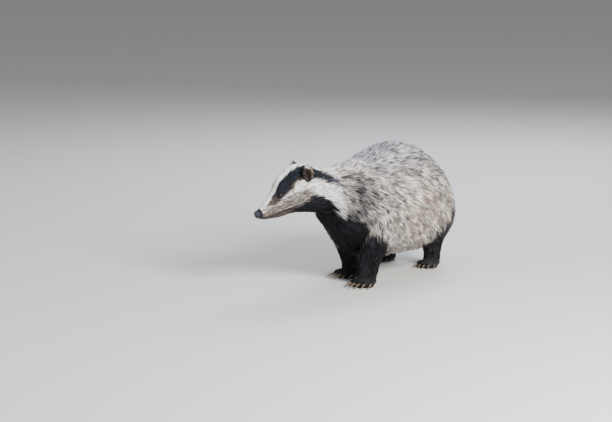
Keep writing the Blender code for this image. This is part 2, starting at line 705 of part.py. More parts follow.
def make_leg(name, rows, paw, side, torso_shape):
    """Leg with its paw, toes and claws as one solid, cut clear of the torso and flat at the floor."""
    leg = leg_tube(name, rows, lambda where: -leg_core(where))
    heel, length, half_width, height, toe, claw, claw_radius = paw
    forward, left, up = axes(np.array(-PAW_YAW * side), np.array(0.0))
    ankle = np.array([rows[-1][0], rows[-1][1], 0.0])
    pieces = []
    path = []
    for part in (0.0, 0.12, 0.35, 0.62, 0.85, 1.0):
        path.append(ankle + forward * (length * part - heel) + up * height * (0.46 - 0.10 * part))
    shape = (0.55, 0.82, 0.95, 1.0, 0.92, 0.62)
    pieces.append(bent_tube("sole", path, [half_width * s for s in shape], 10, height * 0.62 / half_width))
    for k in range(TOES):
        spread = (k - (TOES - 1) / 2) / ((TOES - 1) / 2)
        reach = 1.0 - 0.24 * spread * spread - 0.05 * (spread * side < 0)
        way = forward + left * 0.22 * spread
        way /= np.linalg.norm(way)
        root = ankle + forward * (length * 0.70 * reach - heel) + left * half_width * 0.78 * spread
        path = [root + way * d + up * h for d, h in
                ((0.0, toe * 1.15), (toe * 1.3, toe * 1.25), (toe * 2.5, toe * 0.95), (toe * 3.1, toe * 0.85))]
        pieces.append(bent_tube("toe", path, [toe * 0.85, toe, toe * 0.85, toe * 0.45], 6))
        tip = root + way * toe * 2.75
        claw_path = []
        for part in (0.0, 0.35, 0.70, 1.0):
            rise = toe * 1.0 + 0.0022 * math.sin(math.pi * part) - (toe * 1.0 - claw_radius * 0.6) * part ** 1.5
            claw_path.append(tip + way * claw * part + up * rise)
        radii = [claw_radius * s for s in (1.0, 0.88, 0.60, 0.22)]
        pieces.append(bent_tube("claw", claw_path, radii, 5, 1.25))
    lock_rows = FRONT_LOCK_ROWS if paw is FRONT_PAW else HIND_LOCK_ROWS
    pieces += coat(leg_surface(rows), LEG_ENDS, lock_rows, lambda around: True,
                   leg_core, LEG_LOCK, down)
    keep_largest(combine(leg, pieces, "UNION"))
    floor = box("below_floor", (-0.5, -0.5, -0.1), (0.5, 0.5, 0.0))
    combine(leg, [torso_shape, floor], "DIFFERENCE")
    return keep_largest(leg)


def tail_surface(where, around, grow=0.0):
    row = spline(TAIL_ROWS, where)
    where = np.asarray(where)
    along = spline(TAIL_ROWS, where + 0.05)[..., :3] - spline(TAIL_ROWS, where - 0.05)[..., :3]
    along /= np.linalg.norm(along, axis=-1)[..., None]
    side = np.zeros_like(along)
    side[..., 0] = 1.0
    over = np.cross(side, along)
    ring = np.cos(around)[..., None] * side + np.sin(around)[..., None] * over
    return row[..., :3] + (row[..., 3:4] + grow) * ring


def tail_tube(name, grow, size=TAIL_SIZE):
    turn = 2 * np.pi * np.arange(size) / size
    places = np.linspace(0, len(TAIL_ROWS) - 1, 12)
    rings = []
    for where in places:
        radius = spline(TAIL_ROWS, where)[3]
        rings.append(tail_surface(np.full(size, where), turn, max(grow, -0.5 * radius)))
    return loft(name, rings)


def tail_room():
    """Space that the tail and its coat take outside the torso's core."""
    room = tail_tube("tail_room", ROOM, ROOM_SIZE)
    core = body_part("core", TORSO_PLACES, BODY_SIZE, -GAP * 0.5, 0.0, 0.0)
    return combine(room, [core], "DIFFERENCE")


def tail_lie(where, around, normal):
    way = spline(TAIL_ROWS, where + 0.05)[:3] - spline(TAIL_ROWS, where - 0.05)[:3]
    return way / np.linalg.norm(way)


def make_tail(torso_shape):
    tail = tail_tube("tail", -TAIL_CORE)
    locks = coat(tail_surface, TAIL_ENDS, TAIL_LOCK_ROWS, lambda around: True,
                 lambda where: TAIL_CORE, TAIL_LOCK, tail_lie)
    keep_largest(combine(tail, locks, "UNION"))
    combine(tail, [torso_shape], "DIFFERENCE")
    return keep_largest(tail)


def centre_on_floor(objects):
    """Moves every object so that the middle of the whole at its lowest level is the origin."""
    points = np.array([obj.matrix_world @ v.co for obj in objects for v in obj.data.vertices])
    low = points.min(axis=0)
    high = points.max(axis=0)
    move = ((low[0] + high[0]) / 2, (low[1] + high[1]) / 2, 0.0)
    for obj in objects:
        for vertex in obj.data.vertices:
            vertex.co.x -= move[0]
            vertex.co.y -= move[1]


def torso_room():
    return body_part("torso_room", TORSO_PLACES + NECK_PLACES[1:], BODY_SIZE, GAP, 0.0, 0.0)


def head_room():
    return body_part("head_room", HEAD_PLACES, HEAD_SIZE, GAP, -GAP, 0.0)


def neck_room():
    return body_part("neck_room", NECK_PLACES, BODY_SIZE, GAP, -GAP, GAP)


clear_scene()
torso = make_torso()
neck = make_neck()
head = make_head()
nose = make_nose()
eyes = make_eyes()
tail = make_tail(torso_room())
legs = [
    make_leg("front_leg_left", FRONT_LEG_LEFT, FRONT_PAW, 1, torso_room()),
    make_leg("front_leg_right", FRONT_LEG_RIGHT, FRONT_PAW, -1, torso_room()),
    make_leg("hind_leg_left", HIND_LEG_LEFT, HIND_PAW, 1, torso_room()),
    make_leg("hind_leg_right", HIND_LEG_RIGHT, HIND_PAW, -1, torso_room()),
]
ears = [make_ear("ear_left", 1, [head_room(), neck_room()]), make_ear("ear_right", -1, [head_room(), neck_room()])]

everything = [torso, neck, head, nose, tail, *eyes, *ears, *legs]
looks = {
    "torso": material("grizzled_coat", COAT_GREY, 0.9), "neck": material("neck_coat", COAT_GREY, 0.9),
    "head": material("white_face_coat", COAT_WHITE, 0.85), "nose": material("nose_skin", NOSE_BLACK, 0.4),
    "tail": material("tail_coat", CREAM, 0.9),
}
for obj in everything:
    if obj.name in looks:
        obj.data.materials.append(looks[obj.name])
    elif "leg" in obj.name:
        obj.data.materials.append(material(obj.name + "_coat", COAT_BLACK, 0.8))
    elif "ear" in obj.name:
        obj.data.materials.append(material(obj.name + "_coat", COAT_BLACK, 0.85))
    else:
        obj.data.materials.append(material(obj.name + "_surface", EYE_BLACK, 0.15))
centre_on_floor(everything)
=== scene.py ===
"""European badger, a still museum model at life size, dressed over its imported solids.

One skin with its lids, lips and ears stands for the flesh. Tapered tufts of solid mesh follow the lie
of the coat over it. Nose pad, eyes, claws and whiskers are pieces of their own.
"""

import json
import math

import bmesh
import bpy
import numpy as np
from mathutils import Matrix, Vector, kdtree

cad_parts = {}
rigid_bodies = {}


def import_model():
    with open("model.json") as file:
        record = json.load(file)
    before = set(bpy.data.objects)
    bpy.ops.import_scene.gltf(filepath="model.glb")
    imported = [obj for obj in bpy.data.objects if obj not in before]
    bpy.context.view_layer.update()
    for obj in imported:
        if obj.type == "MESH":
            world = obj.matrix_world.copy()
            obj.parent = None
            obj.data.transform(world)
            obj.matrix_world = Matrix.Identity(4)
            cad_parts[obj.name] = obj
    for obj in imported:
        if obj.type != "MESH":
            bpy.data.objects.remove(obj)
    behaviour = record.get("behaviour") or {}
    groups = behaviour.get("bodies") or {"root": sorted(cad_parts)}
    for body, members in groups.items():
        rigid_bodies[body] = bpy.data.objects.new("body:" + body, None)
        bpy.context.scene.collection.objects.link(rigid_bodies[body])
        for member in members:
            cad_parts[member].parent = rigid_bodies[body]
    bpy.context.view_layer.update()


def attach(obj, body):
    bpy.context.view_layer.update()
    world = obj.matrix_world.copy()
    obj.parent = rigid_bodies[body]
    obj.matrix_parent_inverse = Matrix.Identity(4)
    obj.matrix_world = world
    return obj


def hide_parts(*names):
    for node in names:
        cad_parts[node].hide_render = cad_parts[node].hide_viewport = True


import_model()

# Middle of the solids before they were set over the origin.
MIDDLE = np.array([-0.02647756, -0.00331157, 0.0])

# Cross sections of the coat's outer surface, rump first:
# y, x, top z, bottom z, half width, drop of the widest part, yaw to the right, pitch (degrees).
TORSO_ROWS = (
    (0.264, -0.026, 0.168, 0.150, 0.010, 0.000, 0, 0),
    (0.254, -0.026, 0.207, 0.106, 0.050, 0.010, 0, 0),
    (0.228, -0.026, 0.227, 0.074, 0.076, 0.018, 0, 0),
    (0.180, -0.026, 0.251, 0.044, 0.104, 0.022, 0, 0),
    (0.120, -0.026, 0.278, 0.039, 0.120, 0.018, 0, 0),
    (0.050, -0.026, 0.284, 0.041, 0.112, 0.012, 0, 0),
    (-0.020, -0.026, 0.272, 0.046, 0.098, 0.008, 0, 2),
    (-0.075, -0.026, 0.265, 0.062, 0.089, 0.004, 2, 6),
    (-0.120, -0.026, 0.261, 0.096, 0.079, 0.000, 6, 8),
    (-0.158, -0.040, 0.256, 0.128, 0.069, 0.000, 14, 4),
    (-0.186, -0.049, 0.257, 0.151, 0.061, 0.000, 26, -10),
)
HEAD_START = float(len(TORSO_ROWS))
NOSE_TIP = np.array([-0.1405, -0.309, 0.166])
HEAD_YAW = 38.0
HEAD_PITCH = -25.0
# Distance back from the nose tip, top and bottom above the axis, half width, drop of the widest part.
HEAD_ROWS = (
    (0.150, 0.0410, -0.0680, 0.0540, 0.004),
    (0.130, 0.0515, -0.0620, 0.0530, 0.006),
    (0.115, 0.0555, -0.0550, 0.0510, 0.008),
    (0.100, 0.0540, -0.0465, 0.0475, 0.008),
    (0.085, 0.0500, -0.0385, 0.0410, 0.007),
    (0.072, 0.0435, -0.0340, 0.0335, 0.005),
    (0.061, 0.0345, -0.0320, 0.0275, 0.004),
    (0.050, 0.0260, -0.0300, 0.0240, 0.003),
    (0.038, 0.0178, -0.0270, 0.0212, 0.003),
    (0.024, 0.0115, -0.0215, 0.0185, 0.002),
    (0.012, 0.0070, -0.0165, 0.0155, 0.001),
    (0.004, 0.0045, -0.0120, 0.0115, 0.000),
    (0.001, 0.0020, -0.0080, 0.0060, 0.000),
)
# Forms on each side of the head: distance back, height, side, reach, height of the form.
HEAD_FORMS = (
    (0.062, 0.0165, 0.0265, 0.0085, -0.0022),
    (0.068, 0.0285, 0.0210, 0.0090, 0.0016),
    (0.086, -0.0040, 0.0420, 0.0180, 0.0030),
    (0.030, -0.0060, 0.0195, 0.0110, 0.0012),
    (0.045, 0.0080, 0.0200, 0.0110, -0.0012),
)
MOUTH_LINE = ((0.0075, -0.0115), (0.016, -0.0135), (0.030, -0.0155), (0.045, -0.0165),
              (0.058, -0.0168), (0.068, -0.0162), (0.074, -0.0150))
MOUTH_GROOVE = 0.0008
LIP_HEIGHT = 0.0010
LIP_REACH = 0.0034
EYE_PLACE = (0.062, 0.0165)
EYE_RADIUS = 0.0046
EYE_DEPTH = 0.0030
LID_THICKNESS = 0.0013
LID_HALF_LENGTH = 0.0050
LID_HALF_HEIGHT = 0.0032
EAR_PLACES = {1: (0.128, 0.0345, 0.0430), -1: (0.129, 0.0305, 0.0445)}
EAR_HALF_HEIGHT = 0.0168
EAR_HALF_WIDTH = 0.0108
EAR_DEPTH = 0.0100
EAR_WALL = 0.0022
NOSE_PAD_PLACE = (0.0070, -0.0030)
NOSE_PAD_HALF = (0.0118, 0.0088, 0.0080)
NOSE_LEATHER_HALF = (0.0170, 0.0122, 0.0125)
NOSTRIL_SIDE = 0.0055

# Legs: x, y, z, half across, half along, from the shoulder or hip down to the ankle.
FRONT_LEG_LEFT = (
    (0.012, -0.072, 0.190, 0.030, 0.038), (0.024, -0.078, 0.150, 0.043, 0.052),
    (0.028, -0.084, 0.105, 0.036, 0.043), (0.020, -0.094, 0.068, 0.028, 0.031),
    (0.0140, -0.101, 0.038, 0.0235, 0.0245), (0.0125, -0.104, 0.014, 0.0215, 0.0230),
)
FRONT_LEG_RIGHT = (
    (-0.064, -0.052, 0.190, 0.030, 0.038), (-0.076, -0.048, 0.150, 0.043, 0.052),
    (-0.080, -0.042, 0.105, 0.036, 0.043), (-0.072, -0.036, 0.068, 0.028, 0.031),
    (-0.0660, -0.030, 0.038, 0.0235, 0.0245), (-0.0650, -0.028, 0.014, 0.0215, 0.0230),
)
HIND_LEG_LEFT = (
    (0.015, 0.140, 0.180, 0.040, 0.055), (0.034, 0.146, 0.130, 0.047, 0.070),
    (0.037, 0.152, 0.088, 0.036, 0.052), (0.031, 0.163, 0.055, 0.024, 0.031),
    (0.0285, 0.169, 0.032, 0.0195, 0.0225), (0.0275, 0.168, 0.014, 0.0190, 0.0210),
)
HIND_LEG_RIGHT = (
    (-0.067, 0.150, 0.180, 0.040, 0.055), (-0.088, 0.160, 0.130, 0.047, 0.070),
    (-0.095, 0.168, 0.088, 0.036, 0.052), (-0.094, 0.182, 0.055, 0.024, 0.031),
    (-0.0930, 0.189, 0.032, 0.0195, 0.0225), (-0.0930, 0.188, 0.014, 0.0190, 0.0210),
)
# Paws: heel y offset from the ankle, length, half width, height, toe radius, claw length, claw radius.
FRONT_PAW = (0.014, 0.052, 0.0235, 0.021, 0.0072, 0.024, 0.0026)
HIND_PAW = (0.016, 0.058, 0.0205, 0.019, 0.0064, 0.015, 0.0021)
LEGS = (
    (FRONT_LEG_LEFT, FRONT_PAW, 1), (FRONT_LEG_RIGHT, FRONT_PAW, -1),
    (HIND_LEG_LEFT, HIND_PAW, 1), (HIND_LEG_RIGHT, HIND_PAW, -1),
)
PAW_YAW = 6.0
TOES = 5

# Tail: x, y, z, radius of the coat's outer surface.
TAIL_ROWS = (
    (-0.026, 0.225, 0.190, 0.020), (-0.026, 0.250, 0.180, 0.025), (-0.026, 0.269, 0.156, 0.028),
    (-0.026, 0.277, 0.126, 0.029), (-0.026, 0.272, 0.096, 0.024), (-0.026, 0.260, 0.068, 0.012),
    (-0.026, 0.257, 0.060, 0.003),
)

# Depth from the tips of the coat to the skin along the body run, on the tail and on the legs.
COAT_DEPTH = ((0, 0.008), (1, 0.011), (2, 0.012), (7, 0.012), (8, 0.0105), (11, 0.007), (13, 0.0045),
              (15, 0.0016), (18, 0.0008), (24, 0.0005))
TAIL_DEPTH = 0.012
LEG_DEPTH = ((0, 0.008), (2.0, 0.006), (3.2, 0.003), (5, 0.0015))
# How strongly the coat hangs down at each part of the body run, from rump to nose.
HANG = ((0, 1.7), (1.5, 1.6), (3, 1.5), (4.5, 1.15), (6.0, 0.85), (8, 0.85), (10, 0.5), (11, 0.3),
        (13, 0.12), (24, 0.0))

# Markings of the head and neck, as angle from the crown (degrees) against place on the body run.
BLACK_TOP = ((9.9, 74), (10.03, 60), (10.16, 52), (10.5, 47), (10.8, 41), (11.1, 32), (11.5, 20),
             (12.0, 12), (13.2, 16), (14.3, 19), (15.3, 22), (16.3, 23), (17.2, 24), (17.9, 26),
             (19.1, 27), (20.2, 40))
BLACK_LOW = ((9.9, 88), (10.08, 76), (10.23, 70), (10.7, 68), (11.2, 68), (11.9, 62), (12.8, 55),
             (13.4, 52), (14.6, 57), (15.2, 64), (16.3, 70), (17.9, 68), (18.8, 60), (19.6, 50),
             (20.2, 42))
CHEEK_LOW = ((9.5, 130), (9.7, 132), (10.6, 134), (11.7, 113), (12.3, 97), (13.2, 93), (14.4, 100),
             (15.5, 114), (17.2, 112), (18.6, 106), (20.5, 104), (24, 100))
# Rear edge of the white cheek, as place on the body run against angle from the crown.
CHEEK_REAR = ((70, 9.98), (86, 10.0), (100, 9.9), (115, 9.72), (130, 9.47), (150, 9.4))
# Upper edge of the black of chest and front legs, and of the dark of the thighs: y, z.
CHEST_EDGE = ((-0.32, 0.19), (-0.215, 0.185), (-0.188, 0.163), (-0.165, 0.158), (-0.145, 0.143),
              (-0.118, 0.120), (-0.077, 0.092), (-0.045, 0.066), (-0.019, 0.052), (0.01, 0.0))
THIGH_EDGE = ((0.070, 0.0), (0.082, 0.059), (0.086, 0.082), (0.105, 0.114), (0.132, 0.156), (0.18, 0.180),
              (0.25, 0.186), (0.32, 0.186))

WHITE = np.array([0.84, 0.85, 0.86])
NAPE_WHITE = np.array([0.82, 0.81, 0.80])
CREAM = np.array([0.95, 0.75, 0.62])
GRIZZLE = np.array([0.74, 0.68, 0.64])
BACK_GREY = np.array([0.34, 0.34, 0.40])
SHOULDER_GREY = np.array([0.045, 0.045, 0.058])
BELLY = np.array([0.42, 0.39, 0.37])
# Black of chest, throat and legs; its slight blue tint is painted sheen.
BLACK = np.array([0.006, 0.0065, 0.010])
FACE_BLACK = np.array([0.009, 0.012, 0.018])
DARK_GREY = np.array([0.040, 0.040, 0.052])
TAN = np.array([0.20, 0.130, 0.085])
EDGE_TAN = np.array([0.36, 0.27, 0.19])
EYE_RING = np.array([0.52, 0.46, 0.42])
MUZZLE_GREY = np.array([0.110, 0.086, 0.068])
MUZZLE_BROWN = np.array([0.085, 0.065, 0.055])
EAR_BROWN = np.array([0.055, 0.036, 0.029])
EAR_BLACK = np.array([0.015, 0.013, 0.014])
TAIL_GREY = np.array([0.20, 0.19, 0.19])
HAIR_DARK = np.array([0.022, 0.020, 0.024])
LIP_BLACK = np.array([0.012, 0.011, 0.012])
LID_BLACK = np.array([0.010, 0.009, 0.010])
# Bare leather round the nose; its blue tint is painted reflection of the sky.
LEATHER_BLACK = np.array([0.012, 0.014, 0.024])
# Painted sheen: how much brighter than its base the red, green and blue of a black hair are where a bluish
# highlight is painted along it.
PAINTED_SHEEN = np.array([2.6, 2.8, 3.1])

# Places along a tuft from root to tip, and its share of the full width at each of them.
LONG_PLACES = np.array([0.0, 0.30, 0.66, 1.0])
LONG_WIDTHS = np.array([0.75, 1.0, 0.72, 0.0])
SHORT_PLACES = np.array([0.0, 0.50, 1.0])
SHORT_WIDTHS = np.array([0.85, 1.0, 0.0])
# Side of one tuft's patch on the bake map.
PATCH = 0.003
# Points nearer than this are joined.
SAME_POINT = 0.00001
# Depth of the roots under the skin, for tufts along the lie and for short ones, and height off the floor.
ROOT_DEPTH = 0.0012
SHORT_ROOT_DEPTH = 0.0008
FLOOR_CLEAR = 0.0006
# Coat of torso and neck: name, slot, place from and to, tufts, length, half width, half thickness,
# rise of the tips.
TORSO_COATS = (
    ("coat_rump", "body_coat", 0.3, 3.0, 11500, 0.040, 0.00095, 0.00045, 0.0011),
    ("coat_hips", "body_coat", 3.0, 4.6, 12000, 0.042, 0.00095, 0.00045, 0.0011),
    ("coat_back", "body_coat", 4.6, 6.3, 12000, 0.040, 0.00095, 0.00045, 0.0011),
    ("coat_shoulders", "body_coat", 6.3, 8.1, 11500, 0.034, 0.00090, 0.00040, 0.0010),
    ("coat_neck", "neck_coat", 8.1, 10.9, 12000, 0.024, 0.00080, 0.00035, 0.0008),
)
FACE_START = 10.7
FACE_TUFTS = 19000
LEG_TUFTS = 5200
TAIL_TUFTS = 6500
EAR_TUFTS = 2600
SOLE_TUFTS = 520
TOE_TUFTS = 150
# Length and half width of tufts by place, on the head and on the legs, and of the short ones.
FACE_LENGTHS = ((10.7, 0.020), (12, 0.015), (14, 0.012), (16, 0.009), (18, 0.0065), (21, 0.0045),
                (23, 0.003))
FACE_WIDTHS = ((10.7, 0.00075), (13, 0.00062), (16, 0.00048), (20, 0.00036))
LEG_LENGTHS = ((0, 0.034), (2, 0.028), (3.5, 0.017), (5, 0.009))
LEG_WIDTHS = ((0, 0.00085), (3, 0.00070), (5, 0.00050))
SHORT_HALF_WIDTH = 0.00042
# Whiskers: distance back, height, length.
WHISKERS = (
    (0.020, -0.004, 0.030), (0.024, -0.008, 0.034), (0.026, -0.003, 0.034), (0.030, -0.011, 0.038),
    (0.031, -0.005, 0.036), (0.036, -0.009, 0.036), (0.018, -0.010, 0.026), (0.034, -0.002, 0.030),
    (0.068, 0.030, 0.020), (0.066, 0.027, 0.016),
)
WHISKER_RADIUS = 0.00028

FLOOR_SIZE = 120
# Studio lights: name, place, size, watts, colour.
LIGHTS = (
    ("key", (2.3, -1.2, 1.5), 1.0, 205, (1.0, 0.955, 0.90)),
    ("front_fill", (-1.6, -2.0, 1.2), 1.6, 26, (0.90, 0.95, 1.0)),
    ("rim", (-0.5, 2.0, 1.9), 1.2, 62, (0.88, 0.93, 1.0)),
)
LIGHT_TARGET = (0.0, 0.0, 0.14)
# The photograph's view: turned towards the left side and raised (degrees), its distance, what it aims at
# to the right and up, and its focal length in pixels for the photograph's width.
CAMERA_TURN = 30
CAMERA_RISE = 9
CAMERA_DISTANCE = 5.0
CAMERA_AIM = (-0.170, 0.143)
FOCAL_PIXELS = 2325
PHOTO_WIDTH = 612
SENSOR = 36.0


def spline(rows, where):
    """Smooth curve through the rows; where runs from 0 to the number of the last row."""
    rows = np.asarray(rows, float)
    last = len(rows) - 1
    where = np.clip(np.asarray(where, float), 0, last - 1e-9)
    first = np.floor(where).astype(int)
    part = (where - first)[..., None]
    a, b, c, d = (rows[np.clip(first + k, 0, last)] for k in (-1, 0, 1, 2))
    bend = (2 * a - 5 * b + 4 * c - d) + part * (3 * b - a - 3 * c + d)
    return b + 0.5 * part * ((c - a) + part * bend)


def table(pairs, at):
    return np.interp(at, [p[0] for p in pairs], [p[1] for p in pairs])


def smooth(low, high, value):
    """0 below low, 1 above high, and a smooth step between them."""
    part = np.clip((value - low) / (high - low), 0, 1)
    return part * part * (3 - 2 * part)


def dot(first, second):
    return np.sum(first * second, -1)


def unit(vectors):
    return vectors / np.maximum(np.linalg.norm(vectors, axis=-1)[..., None], 1e-12)


def mix(a, b, share):
    share = np.asarray(share)[..., None]
    return a * (1 - share) + b * share


def axes(yaw, pitch):
    """Forward, left and up of something that faces -Y, turned right by yaw and nose up by pitch."""
    yaw = np.radians(yaw)
    pitch = np.radians(pitch)
    level = np.cos(pitch)
    forward = np.stack([-np.sin(yaw) * level, -np.cos(yaw) * level, np.sin(pitch)], -1)
    left = np.stack([np.cos(yaw), -np.sin(yaw), 0 * yaw], -1)
    return forward, left, np.cross(forward, left)


HEAD_FORWARD, HEAD_LEFT, HEAD_UP = axes(np.array(HEAD_YAW), np.array(HEAD_PITCH))


def head_point(back, up, side):
    return NOSE_TIP - HEAD_FORWARD * back + HEAD_UP * up + HEAD_LEFT * side


def body_rows():
    rows = []
    for y, x, top, bottom, width, drop, yaw, pitch in TORSO_ROWS:
        half = (top - bottom) / 2 / math.cos(math.radians(pitch))
        rows.append((x, y, (top + bottom) / 2, yaw, pitch, width, half, drop))
    for back, top, bottom, width, drop in HEAD_ROWS:
        centre = head_point(back, (top + bottom) / 2, 0)
        rows.append((*centre, HEAD_YAW, HEAD_PITCH, width, (top - bottom) / 2, drop))
    return np.array(rows)


BODY = body_rows()
NOSE_PLACE = len(BODY) - 1.0
# Ends of the body run that no tuft passes.
BODY_ENDS = (0.05, NOSE_PLACE - 0.1)


def head_parts(points):
    """Distance back, height and side of points in the head's own directions."""
    local = points - NOSE_TIP
    return -local @ HEAD_FORWARD, local @ HEAD_UP, local @ HEAD_LEFT


def head_relief(points):
    back, up, side = head_parts(points)
    side = np.abs(side)
    raised = np.zeros(points.shape[:-1])
    for form_back, form_up, form_side, reach, height in HEAD_FORMS:
        distance = (back - form_back) ** 2 + (up - form_up) ** 2 + (side - form_side) ** 2
        raised += height * np.exp(-distance / (reach * reach))
    line = table(MOUTH_LINE, back)
    along = np.clip((back - 0.004) / 0.006, 0, 1) * np.clip((0.078 - back) / 0.010, 0, 1)
    raised += LIP_HEIGHT * along * np.exp(-(((up - line) / LIP_REACH) ** 2))
    return raised


def body_surface(where, around, grow=0.0):
    """Points of the coat's outer surface along the body run, grown outwards by grow."""
    where = np.asarray(where, float)
    row = spline(BODY, where)
    _, left, up = axes(row[..., 3], row[..., 4])
    across = np.cos(around)[..., None]
    high = np.sin(around)[..., None]
    grow = np.asarray(grow, float)[..., None]
    lift = (row[..., 6:7] + grow) * high - row[..., 7:8] * across * across
    points = row[..., :3] + left * (row[..., 5:6] + grow) * across + up * lift
    raised = np.where(where > HEAD_START, head_relief(points), 0.0)
    return points + unit(points - row[..., :3]) * raised[..., None]


def leg_surface(rows):
    def surface(where, around, grow=0.0):
        row = spline(rows, where)
        flat = np.stack([(row[..., 3] + grow) * np.cos(around), (row[..., 4] + grow) * np.sin(around),
                         0 * row[..., 0]], -1)
        return row[..., :3] + flat
    return surface


def tail_way(where):
    return unit(spline(TAIL_ROWS, where + 0.05)[..., :3] - spline(TAIL_ROWS, where - 0.05)[..., :3])


def tail_surface(where, around, grow=0.0):
    row = spline(TAIL_ROWS, where)
    side = np.array([1.0, 0.0, 0.0])
    over = np.cross(side, tail_way(where))
    ring = np.cos(around)[..., None] * side + np.sin(around)[..., None] * over
    return row[..., :3] + (row[..., 3] + grow)[..., None] * ring


def slopes(surface, where, around):
    """Slopes of a surface along both of its coordinates, and its outward normal."""
    along = (surface(where + 0.02, around) - surface(where - 0.02, around)) / 0.04
    over = (surface(where, around + 0.02) - surface(where, around - 0.02)) / 0.04
    normal = unit(np.cross(along, over))
    through = surface(where, around) - surface(where, around + math.pi)
    return along, over, normal * np.sign(dot(normal, through))[..., None]


def steps(along, over, way):
    """Changes of both coordinates that move a point of the surface by way."""
    aa = dot(along, along)
    ao = dot(along, over)
    oo = dot(over, over)
    aw = dot(along, way)
    ow = dot(over, way)
    whole = aa * oo - ao * ao
    return (aw * oo - ow * ao) / whole, (ow * aa - aw * ao) / whole


def body_lie(where, around, normal):
    forward = axes(*np.moveaxis(spline(BODY, where)[..., 3:5], -1, 0))[0]
    hang = table(HANG, where) * (0.25 + 0.75 * np.abs(np.cos(around)))
    way = -forward
    way[..., 2] -= hang
    return way


def leg_lie(where, around, normal):
    return np.broadcast_to([0.0, 0.22, -1.0], normal.shape)


def tail_lie(where, around, normal):
    return tail_way(where)


def waves(points, scale, seed, count=5):
    """Slow random change over space, about from -1 to 1."""
    chance = np.random.default_rng(seed)
    total = np.zeros(points.shape[:-1])
    for _ in range(count):
        way = unit(chance.normal(size=3)) * chance.uniform(0.6, 1.6) * 2 * np.pi / scale
        total += np.sin(points @ way + chance.uniform(0, 2 * np.pi))
    return total / math.sqrt(count) / 1.2


def trunk_colour(points, where, angle, ragged, rough):
    """Colour of trunk, neck, chest and thighs, how strongly hairs are banded, and the pale nape's share."""
    y = points[..., 1]
    z = points[..., 2]
    # Grizzled, warmer on the flank and hip, cooler along the back, dark on the shoulder.
    back_line = smooth(64, 18, angle) * smooth(9.0, 7.6, where)
    warm = np.exp(-(((y - 0.03) / 0.10) ** 2) - ((z - 0.145) / 0.065) ** 2)
    colour = mix(GRIZZLE, CREAM, np.clip(warm * 1.1, 0, 1))
    colour = mix(colour, BACK_GREY, back_line * 0.8)
    shoulder = np.exp(-(((where - 9.0) / 0.90) ** 2)) * smooth(2, 52, angle)
    colour = mix(colour, SHOULDER_GREY, np.clip(shoulder * (0.88 + 0.25 * ragged), 0, 0.92))
    band = 0.92 - 0.10 * warm + 0.08 * back_line + 0.08 * shoulder
    belly = smooth(122, 146, angle) * smooth(6.6, 5.2, where) * smooth(0.10, 0.07, z)
    colour = mix(colour, BELLY, belly * 0.8)
    band = band * (1 - 0.7 * belly)
    # Nape, pale between the dark neck stripes.
    nape = smooth(9.5, 10.3, where + 0.15 * ragged) * smooth(66, 44, angle)
    colour = mix(colour, NAPE_WHITE, nape * 0.9)
    band = band * (1 - 0.80 * nape)
    # Dark of the thighs and black of chest and legs.
    low = smooth(0.115, 0.075, z)
    thigh = smooth(-0.022, 0.012, table(THIGH_EDGE, y) - z + 0.006 * ragged + 0.004 * rough)
    colour = mix(colour, mix(DARK_GREY, BLACK, low), thigh * 0.985)
    band = np.clip(band - (0.50 + 0.4 * low) * thigh, 0, 1)
    chest = smooth(-0.012, 0.010, table(CHEST_EDGE, y) - z + 0.005 * ragged + 0.004 * rough)
    return mix(colour, BLACK, chest), band * (1 - 0.85 * chest), nape


def face_colour(points, where, angle, ragged, rough):
    """Colour of head and neck in front of the cheek's rear edge, the share of plain white, and the angle
    below the upper edge of the black stripe."""
    mottle = waves(points, 0.0050, 8)
    muzzle = smooth(17.0, 18.2, where + 0.25 * rough) * smooth(32, 50, angle + 5 * rough)
    face = mix(WHITE, MUZZLE_BROWN * 1.5, np.clip(0.90 + 0.80 * mottle, 0, 1) * muzzle)
    jowl = smooth(12.2, 13.8, where) * smooth(66, 80, angle + 6 * rough)
    face = mix(face, MUZZLE_GREY, np.clip(0.92 + 0.35 * mottle, 0, 1) * jowl)
    # Throat, black behind and brown under the chin.
    throat = smooth(-5, 5, angle - (table(CHEEK_LOW, where) + 3.0 * ragged + 2.0 * rough))
    face = mix(face, mix(BLACK, MUZZLE_BROWN, smooth(15.8, 17.0, where)), throat)
    # Black stripe, greyer on the neck, brown before the eye, rusty along its lower edge.
    below_top = angle - (table(BLACK_TOP, where) + 1.2 * rough)
    below_low = angle - (table(BLACK_LOW, where) + 2.0 * rough + 1.5 * ragged)
    stripe = smooth(-2.5, 2.5, below_top) * smooth(3.5, -3.5, below_low)
    stripe = stripe * smooth(9.8, 10.0, where) * smooth(20.6, 19.4, where)
    rust = stripe * smooth(-12, -2, below_low) * smooth(12.6, 13.4, where) * smooth(16.4, 15.4, where)
    dark = mix(FACE_BLACK, DARK_GREY, smooth(11.4, 10.2, where) * 0.8)
    dark = mix(dark, MUZZLE_BROWN, smooth(17.6, 19.0, where) * 0.9)
    dark = mix(dark, TAN, np.clip(rust * (0.50 + 0.45 * rough), 0, 1) * 0.75)
    white = (1 - throat) * (1 - stripe) * (1 - jowl) * (1 - muzzle)
    return mix(face, dark, stripe), white, below_top


